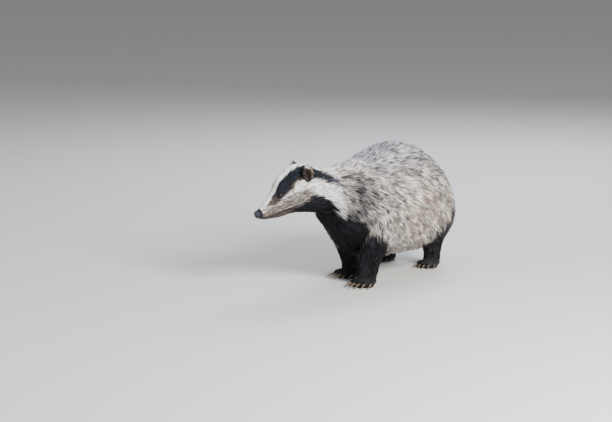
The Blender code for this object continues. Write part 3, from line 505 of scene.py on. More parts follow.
def body_colour(points, where, angle):
    """Colour of the coat and how strongly its hairs are banded, from place on the body run and angle
    from the crown, with y and z for the edges that chest and thighs share with the legs."""
    ragged = waves(points, 0.020, 3)
    rough = waves(points, 0.007, 4)
    colour, band, nape = trunk_colour(points, where, angle, ragged, rough)
    face, white, below_top = face_colour(points, where, angle, ragged, rough)
    head = smooth(0, 0.25, where - table(CHEEK_REAR, angle) + 0.05 * rough)
    inside = np.clip(head * (1 - nape * smooth(11.8, 11.2, where)), 0, 1)
    behind_ear = smooth(9.8, 10.0, where) * (angle < 80)
    inside = np.maximum(inside, behind_ear * smooth(-2.5, 2.5, below_top) * smooth(9.85, 10.0, where))
    # Fine dark hairs streak the white cheek.
    streaked = smooth(14.0, 11.0, where) * smooth(60, 80, angle)
    band = band * (1 - inside) + inside * (0.16 + 0.46 * streaked) * white
    return mix(colour, face, inside), np.clip(band, 0, 1)


def angle_of(around):
    """Angle from the crown in degrees, the same on both sides."""
    return np.abs((np.degrees(around) - 90 + 180) % 360 - 180)


def spread_roots(surface, start, end, count, density=None):
    """Roots spread over a surface in proportion to its area times the density."""
    where = np.linspace(start, end, 260)
    around = np.linspace(0, 2 * np.pi, 121)
    grid_where, grid_around = np.meshgrid(where, around, indexing="ij")
    points = surface(grid_where, grid_around)
    along = np.linalg.norm(np.gradient(points, axis=0), axis=-1)
    over = np.linalg.norm(np.gradient(points, axis=1), axis=-1)
    weight = along * over
    if density is not None:
        weight = weight * density(grid_where)
    weight = np.maximum(weight, 1e-12)
    first, second = ((0.5 + step * np.arange(count)) % 1 for step in (0.7548776662, 0.5698402910))
    by_row = np.cumsum(weight.sum(axis=1))
    place = np.interp(first * by_row[-1], by_row, where)
    index = np.clip(np.searchsorted(where, place), 0, len(where) - 1)
    by_turn = np.cumsum(weight, axis=1)
    by_turn = by_turn / by_turn[:, -1:]
    turns = np.empty(count)
    for k in np.unique(index):
        chosen = index == k
        turns[chosen] = np.interp(second[chosen], by_turn[k], around)
    return place, turns


def ring_corners(middle, side, thick):
    """Three corners of a tuft's cross section, the middle one raised."""
    return np.stack([middle + side - thick * 0.5, middle + thick, middle - side - thick * 0.5], -2)


def grow_tufts(surface, ends, where, around, sizes, depths, lie, tips, turns, places, widths):
    """Rings of every tuft, marched along the lie: array of tufts, places, three corners and x, y, z."""
    lengths, half_widths, thicks = sizes
    rings = []
    before = 0.0
    past = np.zeros(where.shape + (3,))
    parts = 3 if len(places) > 3 else 2
    for place, share in zip(places, widths):
        for _ in range(parts if place else 1):
            along, over, normal = slopes(surface, where, around)
            way = lie(where, around, normal)
            way = unit(way - normal * dot(way, normal)[..., None])
            way = way * np.cos(turns)[..., None] + np.cross(normal, way) * np.sin(turns)[..., None]
            step = way * (lengths * (place - before) / parts)[..., None]
            move_where, move_around = steps(along, over, step)
            on = (where + move_where >= ends[0]) & (where + move_where <= ends[1])
            where = np.where(on, where + move_where, where)
            around = np.where(on, around + move_around, around)
            past = past + np.where(on, 0.0, 1.0)[..., None] * step
        before = place
        normal = slopes(surface, where, around)[2]
        rise = place ** 0.8
        grow = (-depths - ROOT_DEPTH) * (1 - rise) + tips * rise
        middle = surface(where, around, grow) + past
        side = np.cross(way, normal) * (half_widths * share)[..., None]
        rings.append(ring_corners(middle, side, normal * (thicks * (0.35 + 0.65 * share))[..., None]))
    return np.stack(rings, -3)


def straight_tufts(points, normals, ways, sizes, lifts, places, widths):
    """Rings of short tufts that leave the skin at a flat slope."""
    lengths, half_widths, thicks = sizes
    ways = unit(ways - normals * dot(ways, normals)[..., None])
    rings = []
    for place, share in zip(places, widths):
        middle = points + ways * (lengths * place)[..., None] - normals * SHORT_ROOT_DEPTH * (1 - place)
        middle = middle + normals * (lifts * place)[..., None]
        side = np.cross(ways, normals) * (half_widths * share)[..., None]
        rings.append(ring_corners(middle, side, normals * (thicks * (0.35 + 0.65 * share))[..., None]))
    return np.stack(rings, -3)


def add_object(name, data):
    obj = bpy.data.objects.new(name, data)
    bpy.context.scene.collection.objects.link(obj)
    return obj


def paint(mesh, shades):
    """Keeps a colour for each point of a mesh, for the materials to read."""
    layer = mesh.attributes.new("hair_colour", "FLOAT_COLOR", "POINT")
    full = np.concatenate([shades, np.ones((len(shades), 1))], axis=1)
    layer.data.foreach_set("color", full.astype(np.float32).ravel())


def tuft_faces(count):
    """Corner numbers of one tuft of count rings, the last of them a point, as triangles."""
    faces = [(0, 2, 1)]
    for i in range(count - 2):
        for k in range(3):
            a = 3 * i + k
            b = 3 * i + (k + 1) % 3
            faces += [(a, b, b + 3), (a, b + 3, a + 3)]
    tip = 3 * (count - 1)
    last = 3 * (count - 2)
    faces += [(last + k, last + (k + 1) % 3, tip) for k in range(3)]
    return np.array(faces)


def tuft_piece(name, rings, colours, places, spots, material):
    """One mesh of all tufts, with their colour and their patches of the bake map."""
    tufts, count = rings.shape[:2]
    each = 3 * (count - 1) + 1
    points = np.concatenate([rings[:, :-1].reshape(tufts, -1, 3), rings[:, -1:, 1]], axis=1)
    shades = np.concatenate([np.repeat(colours[:, :-1], 3, axis=1), colours[:, -1:]], axis=1)
    faces = (tuft_faces(count)[None] + each * np.arange(tufts)[:, None, None]).reshape(-1, 3)
    corner = np.concatenate([np.tile([-0.5, 0.0, 0.5], count - 1), [0.0]])
    height = np.concatenate([np.repeat(places[:-1], 3), [1.0]]) - 0.5
    patch = spots[:, None, :] + PATCH * np.stack([corner, height], -1)[None]
    patch = np.clip(patch, 0.0, 1.0).reshape(-1, 2)
    mesh = bpy.data.meshes.new(name)
    mesh.vertices.add(tufts * each)
    mesh.vertices.foreach_set("co", (points.reshape(-1, 3) - MIDDLE).astype(np.float32).ravel())
    mesh.loops.add(faces.size)
    mesh.loops.foreach_set("vertex_index", faces.astype(np.int32).ravel())
    mesh.polygons.add(len(faces))
    mesh.polygons.foreach_set("loop_start", np.arange(0, faces.size, 3, dtype=np.int32))
    mesh.polygons.foreach_set("use_smooth", np.ones(len(faces), dtype=bool))
    mesh.update(calc_edges=True)
    layer = mesh.uv_layers.new(name="OFBake")
    layer.uv.foreach_set("vector", patch[faces.ravel()].astype(np.float32).ravel())
    paint(mesh, shades.reshape(-1, 3))
    mesh.materials.append(material)
    return add_object(name, mesh)


def search_tree(points):
    tree = kdtree.KDTree(len(points))
    for number, point in enumerate(points):
        tree.insert(point, number)
    tree.balance()
    return tree


def gather(rings, places, size, seed, most=0.006):
    """Draws the tips of neighbouring tufts together into pointed locks, and says which lock each is in."""
    chance = np.random.default_rng(seed)
    found = None
    for each, pull, limit in ((size, 0.60, most), (size * 6, 0.28, most * 1.7)):
        middle = rings.mean(axis=2)
        leaders = chance.permutation(len(rings))[:max(1, len(rings) // each)]
        tree = search_tree(middle[leaders, 1])
        chosen = leaders[[tree.find(p)[1] for p in middle[:, 1]]]
        move = (middle[chosen] - middle) * (pull * places ** 1.5)[None, :, None]
        long = np.linalg.norm(move, axis=-1)[..., None]
        move = move * np.minimum(1.0, limit / np.maximum(long, 1e-9))
        rings = rings + move[:, :, None]
        found = chosen if found is None else found
    return rings, found


def hair_shades(colour, band, places, chance, locks):
    """Colour of each tuft at each of its places: light and dark along its length, with painted shade
    towards the root and a painted sheen on some black hairs, banded where wanted, and mostly alike within
    each lock."""
    tufts = len(colour)
    share = band[:, None, None]
    kind = chance.uniform(size=tufts)
    light = chance.normal(1.0, 0.14, size=tufts)
    kind = np.where(chance.uniform(size=tufts) < 0.72, kind[locks], kind)[:, None, None]
    light = light * chance.normal(1.0, 0.20, size=tufts)[locks].clip(0.5, 1.5)
    along = places[None, :, None]
    base = colour[:, None, :] * light[:, None, None]
    pale = np.clip(base * 1.22 + 0.05, 0, 0.93)
    ring = np.exp(-(((along - 0.66) / 0.20) ** 2))
    with_ring = base * (1 - ring) + HAIR_DARK * ring
    with_ring = with_ring * (1 - smooth(0.80, 1.0, along)) + pale * smooth(0.80, 1.0, along)
    streak = base * 0.16 + HAIR_DARK * 0.84
    # Painted shade: every hair is darker towards its root, deep in the coat.
    root = 1 - 0.45 * smooth(0.5, 0.0, along)
    grizzled = np.where(kind < 0.34, with_ring, np.where(kind > 0.86, streak, pale)) * root
    # Painted sheen: a bluish highlight along the outer part of about one black hair in eight.
    painted_sheen = (kind > 0.88) * smooth(0.2, 0.7, along) * (colour.max(axis=1) < 0.1)[:, None, None]
    plain = base * (1 + painted_sheen * PAINTED_SHEEN)
    return np.clip(plain * (1 - share) + grizzled * share, 0.002, 0.93)


class Value:
    """A socket of a material; sums and products of it add Math nodes."""

    def __init__(self, tree, socket):
        self.tree = tree
        self.socket = socket

    def maths(self, operation, first, second):
        node = self.tree.nodes.new("ShaderNodeMath")
        node.operation = operation
        for place, value in enumerate((first, second)):
            if isinstance(value, Value):
                self.tree.links.new(value.socket, node.inputs[place])
            else:
                node.inputs[place].default_value = value
        return Value(self.tree, node.outputs[0])

    def __add__(self, other):
        return self.maths("ADD", self, other)

    def __radd__(self, other):
        return self.maths("ADD", other, self)

    def __rsub__(self, other):
        return self.maths("SUBTRACT", other, self)

    def __mul__(self, other):
        return self.maths("MULTIPLY", self, other)


class Finish:
    """A Principled material; node() adds any node and set() fills the shader's sockets."""

    def __init__(self, name, **constants):
        self.material = bpy.data.materials.new(name)
        self.material.use_nodes = True
        self.tree = self.material.node_tree
        self.shader = self.tree.nodes["Principled BSDF"]
        for socket, value in constants.items():
            self.shader.inputs[socket.replace("_", " ")].default_value = value

    def node(self, kind, settings=None, output=0, **values):
        """Adds a node with its settings, then the values or links of its sockets; i3 is socket number 3."""
        node = self.tree.nodes.new(kind)
        for name, value in (settings or {}).items():
            setattr(node, name, value)
        for name, value in values.items():
            socket = node.inputs[int(name[1:]) if name[1:].isdigit() else name]
            if isinstance(value, Value):
                self.tree.links.new(value.socket, socket)
            else:
                socket.default_value = value
        return Value(self.tree, node.outputs[output])

    def attribute(self, name, output=0):
        return self.node("ShaderNodeAttribute", {"attribute_name": name}, output)

    def place(self):
        return self.node("ShaderNodeTexCoord", output="Object")

    def noise(self, scale, detail=3.0, stretch=None):
        vector = self.place()
        if stretch is not None:
            vector = self.node("ShaderNodeMapping", Vector=vector, Scale=stretch)
        return self.node("ShaderNodeTexNoise", Vector=vector, Scale=scale, Detail=detail)

    def cells(self, scale):
        return self.node("ShaderNodeTexVoronoi", Vector=self.place(), Scale=scale)

    def blend(self, share, first, second):
        return self.node("ShaderNodeMix", {"data_type": "RGBA"}, output=2, i0=share, i6=first, i7=second)

    def set(self, name, value):
        self.tree.links.new(value.socket, self.shader.inputs[name])

    def bump(self, height, distance):
        self.set("Normal", self.node("ShaderNodeBump", Height=height, Distance=distance, Strength=1.0))


def hair_finish(name, roughness):
    finish = Finish(name, Roughness=roughness, Specular_IOR_Level=0.20)
    finish.set("Base Color", finish.attribute("hair_colour"))
    return finish.material


def skin_finish():
    """Short hair over dark skin, turning to bare leather round the nose and on the lips."""
    finish = Finish("short_coat_and_skin", Roughness=0.75, Specular_IOR_Level=0.22)
    hairs = finish.noise(420.0, 4.0)
    bare = finish.attribute("bare_leather", 2)
    furry = 1.0 - bare
    skin = (0.02, 0.018, 0.016, 1.0)
    finish.set("Base Color", finish.blend(hairs * 0.35 * furry, finish.attribute("hair_colour"), skin))
    finish.set("Roughness", 0.75 - bare * 0.42)
    finish.bump(hairs * furry + finish.cells(900.0) * bare * 0.5, 0.0006)
    return finish.material


def nose_finish():
    finish = Finish("nose_leather", Roughness=0.32, Specular_IOR_Level=0.5, Coat_Weight=0.25,
                    Coat_Roughness=0.2)
    cells = finish.cells(900.0)
    # The blue in the nose pad's colour is painted reflection of the sky on black leather.
    colour = finish.blend(finish.noise(160.0), (0.008, 0.009, 0.016, 1.0), (0.034, 0.040, 0.068, 1.0))
    finish.set("Base Color", colour)
    finish.set("Roughness", 0.26 + cells * 0.30)
    finish.bump(cells, 0.0003)
    return finish.material


def claw_finish():
    finish = Finish("claw_horn", Roughness=0.38, Specular_IOR_Level=0.5)
    grain = finish.noise(90.0, 3.0, (1.0, 6.0, 1.0))
    finish.set("Base Color", finish.blend(grain, (0.035, 0.026, 0.020, 1.0), (0.20, 0.155, 0.11, 1.0)))
    finish.bump(grain, 0.0002)
    return finish.material


def eye_finish():
    finish = Finish("eye_wet_black", Roughness=0.14, Specular_IOR_Level=0.35, Coat_Weight=0.2,
                    Coat_Roughness=0.04)
    iris = finish.noise(600.0)
    finish.set("Base Color", finish.blend(iris, (0.003, 0.002, 0.002, 1.0), (0.009, 0.005, 0.004, 1.0)))
    return finish.material


def plain_finish(name, colour, roughness):
    return Finish(name, Base_Color=colour, Roughness=roughness).material


def face_outwards(mesh, merge=False):
    """Turns the faces of a closed mesh outwards, after joining points that meet where that is wanted."""
    shape = bmesh.new()
    shape.from_mesh(mesh)
    if merge:
        bmesh.ops.remove_doubles(shape, verts=shape.verts, dist=SAME_POINT)
    bmesh.ops.recalc_face_normals(shape, faces=shape.faces)
    shape.to_mesh(mesh)
    shape.free()


def tube(name, rings):
    """Closed shape through rings of equally many points, its ends closed by fans."""
    rings = np.asarray(rings, float)
    count, size = rings.shape[:2]
    vertices = np.concatenate([rings.reshape(-1, 3), rings[:1].mean(axis=1), rings[-1:].mean(axis=1)])
    turns = [(k, (k + 1) % size) for k in range(size)]
    faces = []
    for i in range(0, (count - 1) * size, size):
        faces += [(i + k, i + nxt, i + size + nxt, i + size + k) for k, nxt in turns]
    start = count * size
    for k, nxt in turns:
        faces.append((start, nxt, k))
        faces.append((start + 1, start - size + k, start - size + nxt))
    mesh = bpy.data.meshes.new(name)
    mesh.from_pydata(vertices.tolist(), [], faces)
    face_outwards(mesh)
    return add_object(name, mesh)


def ring_turn(count):
    return 2 * np.pi * np.arange(count) / count


def ellipsoid(name, centre, axis_x, axis_y, axis_z, around=32, stacks=20):
    polar = np.pi * (np.arange(stacks) + 0.5) / stacks
    turn = ring_turn(around)
    flat = axis_x * np.cos(turn)[:, None] + axis_y * np.sin(turn)[:, None]
    return tube(name, [centre + flat * math.sin(p) + axis_z * math.cos(p) for p in polar])


def path_tube(name, points, radii, sides=12, flatten=1.0, up=(0, 0, 1), between=1):
    """Round or flattened shape along a smooth path."""
    rows = np.concatenate([np.asarray(points, float), np.asarray(radii, float)[:, None]], axis=1)
    rows = spline(rows, np.linspace(0, len(rows) - 1, (len(rows) - 1) * between + 1))
    points = rows[:, :3]
    turn = ring_turn(sides)
    rings = []
    for i, point in enumerate(points):
        along = unit(points[min(i + 1, len(points) - 1)] - points[max(i - 1, 0)])
        side = unit(np.cross(along, up))
        over = np.cross(side, along)
        ring = np.cos(turn)[:, None] * side + flatten * np.sin(turn)[:, None] * over
        rings.append(point + rows[i, 3] * ring)
    return tube(name, rings)


def keep_modified(obj):
    """Puts what an object's modifiers make in the place of its mesh."""
    bpy.context.view_layer.update()
    made = bpy.data.meshes.new_from_object(obj.evaluated_get(bpy.context.evaluated_depsgraph_get()))
    obj.modifiers.clear()
    obj.data = made


def combine(obj, others, operation):
    """Joins or cuts obj with all others in one step, then removes them."""
    group = bpy.data.collections.new("group")
    bpy.context.scene.collection.children.link(group)
    for other in others:
        bpy.context.scene.collection.objects.unlink(other)
        group.objects.link(other)
    modifier = obj.modifiers.new("combine", "BOOLEAN")
    modifier.operation = operation
    modifier.operand_type = "COLLECTION"
    modifier.collection = group
    modifier.solver = "MANIFOLD"
    keep_modified(obj)
    for other in list(group.objects):
        bpy.data.objects.remove(other, do_unlink=True)
    bpy.data.collections.remove(group)


def face_point(back, up, side, out=0.0):
    """Point of the head's surface at a distance back and a height on one side, moved outwards by out."""
    where = HEAD_START + np.interp(-back, [-r[0] for r in HEAD_ROWS], np.arange(len(HEAD_ROWS)))
    turns = np.linspace(-np.pi / 2, np.pi / 2, 60)
    points = body_surface(np.full(60, where), turns if side > 0 else np.pi - turns)
    points = points + unit(points - points.mean(axis=0)) * out
    ups = (points - NOSE_TIP) @ HEAD_UP
    return np.array([np.interp(up, ups, points[:, k]) for k in range(3)])


def eye_axes(side):
    outward = unit(HEAD_LEFT * side * 0.90 + HEAD_FORWARD * 0.34 + HEAD_UP * 0.28)
    along = unit(HEAD_FORWARD - outward * (HEAD_FORWARD @ outward))
    return outward, along, np.cross(outward, along) * side


EYES = {side: face_point(EYE_PLACE[0], EYE_PLACE[1], side, -EYE_DEPTH) for side in (1, -1)}


def ear_axes(side):
    """Middle of an ear, the way its cup opens, its height and its width."""
    back, up, out = EAR_PLACES[side]
    facing = unit(HEAD_LEFT * side * 0.80 + HEAD_FORWARD * 0.58 + HEAD_UP * 0.10)
    tall = HEAD_UP * 0.93 + HEAD_LEFT * side * 0.34 - HEAD_FORWARD * 0.12
    tall = unit(tall - facing * (tall @ facing))
    return head_point(back, up, side * out), facing, tall, np.cross(facing, tall)


def ear_profile():
    """Shares of the radius and of the depth along the ear's wall, from the back over the rim to the cup."""
    rim = math.asin(0.55)
    inner = (EAR_HALF_WIDTH - EAR_WALL) / EAR_HALF_WIDTH
    outer = [(math.cos(turn), math.sin(turn)) for turn in np.linspace(-0.5 * np.pi, rim, 18)]
    cup = [(inner * math.cos(turn), 0.72 + math.sin(turn) * 0.90)
           for turn in np.linspace(math.asin(-0.15), -0.5 * np.pi, 16)]
    return (outer + cup)[1:-1]


def make_ear(side):
    centre, facing, tall, wide = ear_axes(side)
    turn = ring_turn(40)
    flat = np.cos(turn)[:, None] * wide * EAR_HALF_WIDTH + np.sin(turn)[:, None] * tall * EAR_HALF_HEIGHT
    rings = [centre + flat * share + facing * EAR_DEPTH * depth for share, depth in ear_profile()]
    return tube("ear", rings)


def mouth_path():
    backs = np.linspace(MOUTH_LINE[0][0], MOUTH_LINE[-1][0], 22)
    halves = [[face_point(back, table(MOUTH_LINE, back), side) for back in backs] for side in (1, -1)]
    return halves[0][::-1] + halves[1]


def make_body_skin():
    places = np.concatenate([np.linspace(0.0, HEAD_START, 120)[:-1],
                             np.linspace(HEAD_START, NOSE_PLACE, 190)])
    around = ring_turn(120)
    rings = [body_surface(np.full(120, p), around, np.full(120, -table(COAT_DEPTH, p))) for p in places]
    return tube("badger_skin", rings)


def paw_axes(rows, side):
    """Point of the floor under the ankle, and the paw's forward, left and up."""
    return np.array([rows[-1][0], rows[-1][1], 0.0]), *axes(np.array(-PAW_YAW * side), np.array(0.0))


def paw_pieces(rows, paw, side):
    """Sole and toes of a paw."""
    heel, length, half_width, height, toe = paw[:5]
    ankle, forward, _, up = paw_axes(rows, side)
    path = [ankle + forward * (length * part - heel) + up * height * (0.46 - 0.10 * part)
            for part in (0.0, 0.12, 0.35, 0.62, 0.85, 1.0)]
    radii = [half_width * s for s in (0.55, 0.82, 0.95, 1.0, 0.92, 0.62)]
    pieces = [path_tube("sole", path, radii, 28, height * 0.62 / half_width, between=5)]
    for root, way in toe_roots(rows, paw, side):
        path = [root + way * (toe * d) + up * (toe * h)
                for d, h in ((0.0, 1.15), (1.3, 1.25), (2.5, 0.95), (3.1, 0.85))]
        pieces.append(path_tube("toe", path, [toe * s for s in (0.85, 1, 0.85, 0.45)], 16, between=5))
    return pieces


def toe_roots(rows, paw, side):
    """Root and way of each toe."""
    heel, length, half_width = paw[:3]
    ankle, forward, left, _ = paw_axes(rows, side)
    found = []
    for k in range(TOES):
        spread = (k - (TOES - 1) / 2) / ((TOES - 1) / 2)
        reach = 1.0 - 0.24 * spread * spread - 0.05 * (spread * side < 0)
        root = ankle + forward * (length * 0.70 * reach - heel) + left * half_width * 0.78 * spread
        found.append((root, unit(forward + left * 0.22 * spread)))
    return found


def make_claws():
    """Middle line of every claw with its radius, root first."""
    lines = []
    for rows, paw, side in LEGS:
        toe, claw, claw_radius = paw[4:]
        for root, way in toe_roots(rows, paw, side):
            tip = root + way * toe * 2.75
            line = []
            for part in np.linspace(0.0, 1.0, 10):
                fall = (toe - claw_radius * 0.6) * part ** 1.5
                rise = toe + 0.0022 * math.sin(math.pi * part) - fall
                radius = claw_radius * np.interp(part, (0, 0.35, 0.7, 1), (1.0, 0.88, 0.60, 0.16))
                line.append((*(tip + way * claw * part + np.array([0, 0, rise])), radius))
            lines.append(line)
    return lines


def make_whiskers():
    """Middle line of every whisker with its radius."""
    chance = np.random.default_rng(12)
    bend = -HEAD_FORWARD * 0.45 - HEAD_UP * 0.30
    lines = []
    for side in (1, -1):
        for back, up, length in WHISKERS:
            root = face_point(back, up, side, -0.001)
            out = unit(HEAD_LEFT * side * chance.uniform(0.7, 1.0) - HEAD_FORWARD * chance.uniform(0.2, 0.5)
                       - HEAD_UP * chance.uniform(0.0, 0.5))
            lines.append([(*(root + length * (out * part + bend * part * part * 0.5)),
                           WHISKER_RADIUS * (1 - 0.8 * part)) for part in np.linspace(0, 1, 8)])
    return lines


def tube_tree(name, sides):
    """Geometry Nodes that turn lines into closed tubes: each point's radius_here times the thickness."""
    tree = bpy.data.node_groups.new(name, "GeometryNodeTree")
    for label, way, kind in (("Geometry", "INPUT", "NodeSocketGeometry"),
                             ("Thickness", "INPUT", "NodeSocketFloat"),
                             ("Geometry", "OUTPUT", "NodeSocketGeometry")):
        tree.interface.new_socket(label, in_out=way, socket_type=kind)
    start, end, curve, size, times, widen, circle, sweep = (tree.nodes.new(kind) for kind in (
        "NodeGroupInput", "NodeGroupOutput", "GeometryNodeMeshToCurve", "GeometryNodeInputNamedAttribute",
        "ShaderNodeMath", "GeometryNodeSetCurveRadius", "GeometryNodeCurvePrimitiveCircle",
        "GeometryNodeCurveToMesh"))
    size.inputs["Name"].default_value = "radius_here"
    times.operation = "MULTIPLY"
    circle.inputs["Resolution"].default_value = sides
    circle.inputs["Radius"].default_value = 1.0
    sweep.inputs["Fill Caps"].default_value = True
    links = (
        (start, "Geometry", curve, "Mesh"), (size, "Attribute", times, 0), (start, "Thickness", times, 1),
        (curve, "Curve", widen, "Curve"), (times, 0, widen, "Radius"), (widen, "Curve", sweep, "Curve"),
        (circle, "Curve", sweep, "Profile Curve"), (times, 0, sweep, "Scale"),
        (sweep, "Mesh", end, "Geometry"),
    )
    for source, output, target, socket in links:
        # Some versions of Blender take the thickness from the curve's radius and have no Scale here.
        if isinstance(socket, int) or socket in target.inputs:
            tree.links.new(source.outputs[output], target.inputs[socket])
    return tree


def swept_piece(name, lines, sides, material):
    """One mesh of tubes along the lines, made by Geometry Nodes and kept as plain mesh."""
    points = np.array([p for line in lines for p in line])
    size = len(lines[0])
    edges = [(k, k + 1) for k in range(len(points) - 1) if (k + 1) % size]
    mesh = bpy.data.meshes.new(name + "_lines")
    mesh.from_pydata((points[:, :3] - MIDDLE).tolist(), edges, [])
    radius = mesh.attributes.new("radius_here", "FLOAT", "POINT")
    radius.data.foreach_set("value", points[:, 3].astype(np.float32))
    obj = add_object(name, mesh)
    modifier = obj.modifiers.new("tubes", "NODES")
    modifier.node_group = tube_tree(name + "_tubes", sides)
    thickness = next(s for s in modifier.node_group.interface.items_tree if s.name == "Thickness")
    modifier[thickness.identifier] = 1.0
    keep_modified(obj)
    return finish_mesh(obj, material)


def finish_mesh(obj, material):
    """Joined points, outward faces, smooth shading and the material."""
    face_outwards(obj.data, merge=True)
    obj.data.materials.clear()
    obj.data.materials.append(material)
    obj.data.polygons.foreach_set("use_smooth", [True] * len(obj.data.polygons))
    return obj


def move_to_frame(obj):
    """Moves a mesh that was made at the tables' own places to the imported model's."""
    obj.data.vertices.foreach_set("co", (vertex_points(obj) - MIDDLE).ravel())
    obj.data.update()
    return obj


def vertex_points(obj):
    points = np.empty(len(obj.data.vertices) * 3)
    obj.data.vertices.foreach_get("co", points)
    return points.reshape(-1, 3)


def leg_tube(rows):
    turn = ring_turn(48)
    surface = leg_surface(rows)
    return tube("leg", [surface(np.full(48, p), turn, -table(LEG_DEPTH, p)) for p in np.linspace(0, 5, 50)])


def tail_depth(where):
    return np.minimum(TAIL_DEPTH, 0.5 * spline(TAIL_ROWS, where)[..., 3])


def tail_tube():
    turn = ring_turn(40)
    rings = [tail_surface(np.full(40, place), turn, np.full(40, -tail_depth(place)))
             for place in np.linspace(0, len(TAIL_ROWS) - 1, 44)]
    return tube("tail", rings)


def torso_place(points):
    """Place on the body run of the torso's cross section at each point's y."""
    return np.interp(-points[..., 1], [-r[0] for r in TORSO_ROWS], np.arange(len(TORSO_ROWS)))


def limb_colour(points):
    """Colour and banding of legs, from the same edges as the body's."""
    return body_colour(points, torso_place(points), np.full(points.shape[:-1], 110.0))


def tail_colour(points):
    """Colour and banding of the tail, grey and cream."""
    share = np.clip(0.55 + 0.25 * waves(points, 0.02, 9), 0, 1)
    return mix(TAIL_GREY, CREAM * 0.95, share), np.full(points.shape[:-1], 0.6)


def make_skin(finish):
    """The whole skin as one closed mesh, painted from the parts that it is joined from."""
    skin = make_body_skin()
    grid_where, grid_around = (g.ravel() for g in np.meshgrid(
        np.linspace(0, NOSE_PLACE, 420), np.linspace(0, 2 * np.pi, 120), indexing="ij"))
    colour, band = body_colour(body_surface(grid_where, grid_around), grid_where, angle_of(grid_around))
    on_body = body_surface(grid_where, grid_around, -table(COAT_DEPTH, grid_where))
    # Skin of body, legs, paws and tail is painted darker than the coat over it, the more so under banded
    # hair: partly its own darker tone, partly painted shade under the hair.
    groups = [(on_body, colour * (1 - 0.50 * band[:, None]))]
    joined = []

    def join(obj, shades):
        groups.append((vertex_points(obj), shades))
        joined.append(obj)

    for rows, paw, side in LEGS:
        for obj in [leg_tube(rows)] + paw_pieces(rows, paw, side):
            join(obj, limb_colour(vertex_points(obj))[0] * 0.8)
    tail = tail_tube()
    join(tail, tail_colour(vertex_points(tail))[0] * 0.6)
    cutters = [nose_pad("nose_room", 0.0003),
               path_tube("mouth", mouth_path(), [MOUTH_GROOVE] * 44, 8, 1.0, HEAD_UP)]
    for side in (1, -1):
        ear = make_ear(side)
        join(ear, ear_colour(vertex_points(ear), side))
        centre = EYES[side]
        outward, along, up = eye_axes(side)
        radius = EYE_RADIUS + LID_THICKNESS
        lid = ellipsoid("lid", centre, along * radius * 1.15, up * radius, outward * radius)
        join(lid, np.broadcast_to(LID_BLACK, (len(lid.data.vertices), 3)))
        opening = centre + outward * EYE_RADIUS * 1.35
        cutters.append(ellipsoid("lid_opening", opening, along * LID_HALF_LENGTH, up * LID_HALF_HEIGHT,
                                 outward * EYE_RADIUS))
        reach = EYE_RADIUS + 0.0002
        cutters.append(ellipsoid("eye_room", centre, along * reach, up * reach, outward * reach))
    combine(skin, joined, "UNION")
    combine(skin, cutters, "DIFFERENCE")
    finish_mesh(skin, finish)
    tree = search_tree(np.concatenate([g[0] for g in groups]))
    colours = np.concatenate([g[1] for g in groups])
    points = vertex_points(skin)
    shade = np.array([colours[tree.find(p)[1]] for p in points])
    back, up, side = head_parts(points)
    line = table(MOUTH_LINE, back)
    lips = np.exp(-(((up - line) / 0.0022) ** 2)) * smooth(0.080, 0.074, back) * smooth(0.0, 0.004, back)
    shade = mix(shade, LIP_BLACK, np.clip(lips * 1.2, 0, 1))
    bare = nose_share(points)
    paint(skin.data, mix(shade, LEATHER_BLACK, bare))
    leather = skin.data.attributes.new("bare_leather", "FLOAT", "POINT")
    leather.data.foreach_set("value", np.maximum(bare, np.clip(lips, 0, 1) * 0.7).astype(np.float32))
    points[:, 2] = np.maximum(points[:, 2], 0.0)
    skin.data.vertices.foreach_set("co", points.ravel())
    return move_to_frame(skin)


def ear_colour(points, side):
    """Dark brown ear with a tan rear edge, a white tip and a dark cup."""
    centre, facing, tall, _ = ear_axes(side)
    local = points - centre
    high = local @ tall / EAR_HALF_HEIGHT
    deep = local @ facing / EAR_DEPTH
    behind = -(local @ HEAD_FORWARD) / EAR_HALF_WIDTH
    ragged = waves(points, 0.006, 15)
    colour = mix(EAR_BROWN, EAR_BLACK, smooth(0.2, -0.8, behind))
    edge = smooth(0.72, 1.0, behind + 0.15 * ragged) * smooth(-0.6, 0.1, deep)
    colour = mix(colour, EDGE_TAN, 0.85 * edge)
    # The photograph shows the white tip of the right ear alone, so its white reaches further down.
    first = 0.84 if side > 0 else 0.10
    rim = smooth(first, first + 0.18, high + 0.10 * ragged) * smooth(-0.5, 0.2, deep)
    return mix(colour, WHITE * 0.85, rim)


def nose_pad(name, grow):
    centre = head_point(NOSE_PAD_PLACE[0], NOSE_PAD_PLACE[1], 0)
    width, height, depth = (half + grow for half in NOSE_PAD_HALF)
    return ellipsoid(name, centre, HEAD_LEFT * width, HEAD_UP * height, HEAD_FORWARD * depth, 48, 32)


def make_nose(finish):
    nose = nose_pad("nose_pad", 0.0)
    cutters = []
    for side in (1, -1):
        centre = head_point(0.0005, -0.0025, side * NOSTRIL_SIDE)
        forward = HEAD_FORWARD * 0.0035 + HEAD_LEFT * side * 0.0016
        across = HEAD_LEFT * 0.0021 - HEAD_FORWARD * side * 0.0008
        cutters.append(ellipsoid("nostril", centre, across, HEAD_UP * 0.0026, forward, 24, 14))
        slit = head_point(0.0030, -0.0040, side * 0.0088)
        cutters.append(ellipsoid("nostril_slit", slit, across * 1.3, HEAD_UP * 0.0009, forward, 20, 12))
    lip = [head_point(b, u, 0) for b, u in ((-0.0016, -0.0040), (-0.0010, -0.0085), (0.0015, -0.0120))]
    cutters.append(path_tube("nose_groove", lip, [0.0006] * 3, 10, 1.0, HEAD_LEFT, 4))
    combine(nose, cutters, "DIFFERENCE")
    return move_to_frame(finish_mesh(nose, finish))


def make_eye(name, side, finish):
    outward, along, up = eye_axes(side)
    eye = ellipsoid(name, EYES[side], along * EYE_RADIUS, up * EYE_RADIUS, outward * EYE_RADIUS, 40, 28)
    return move_to_frame(finish_mesh(eye, finish))


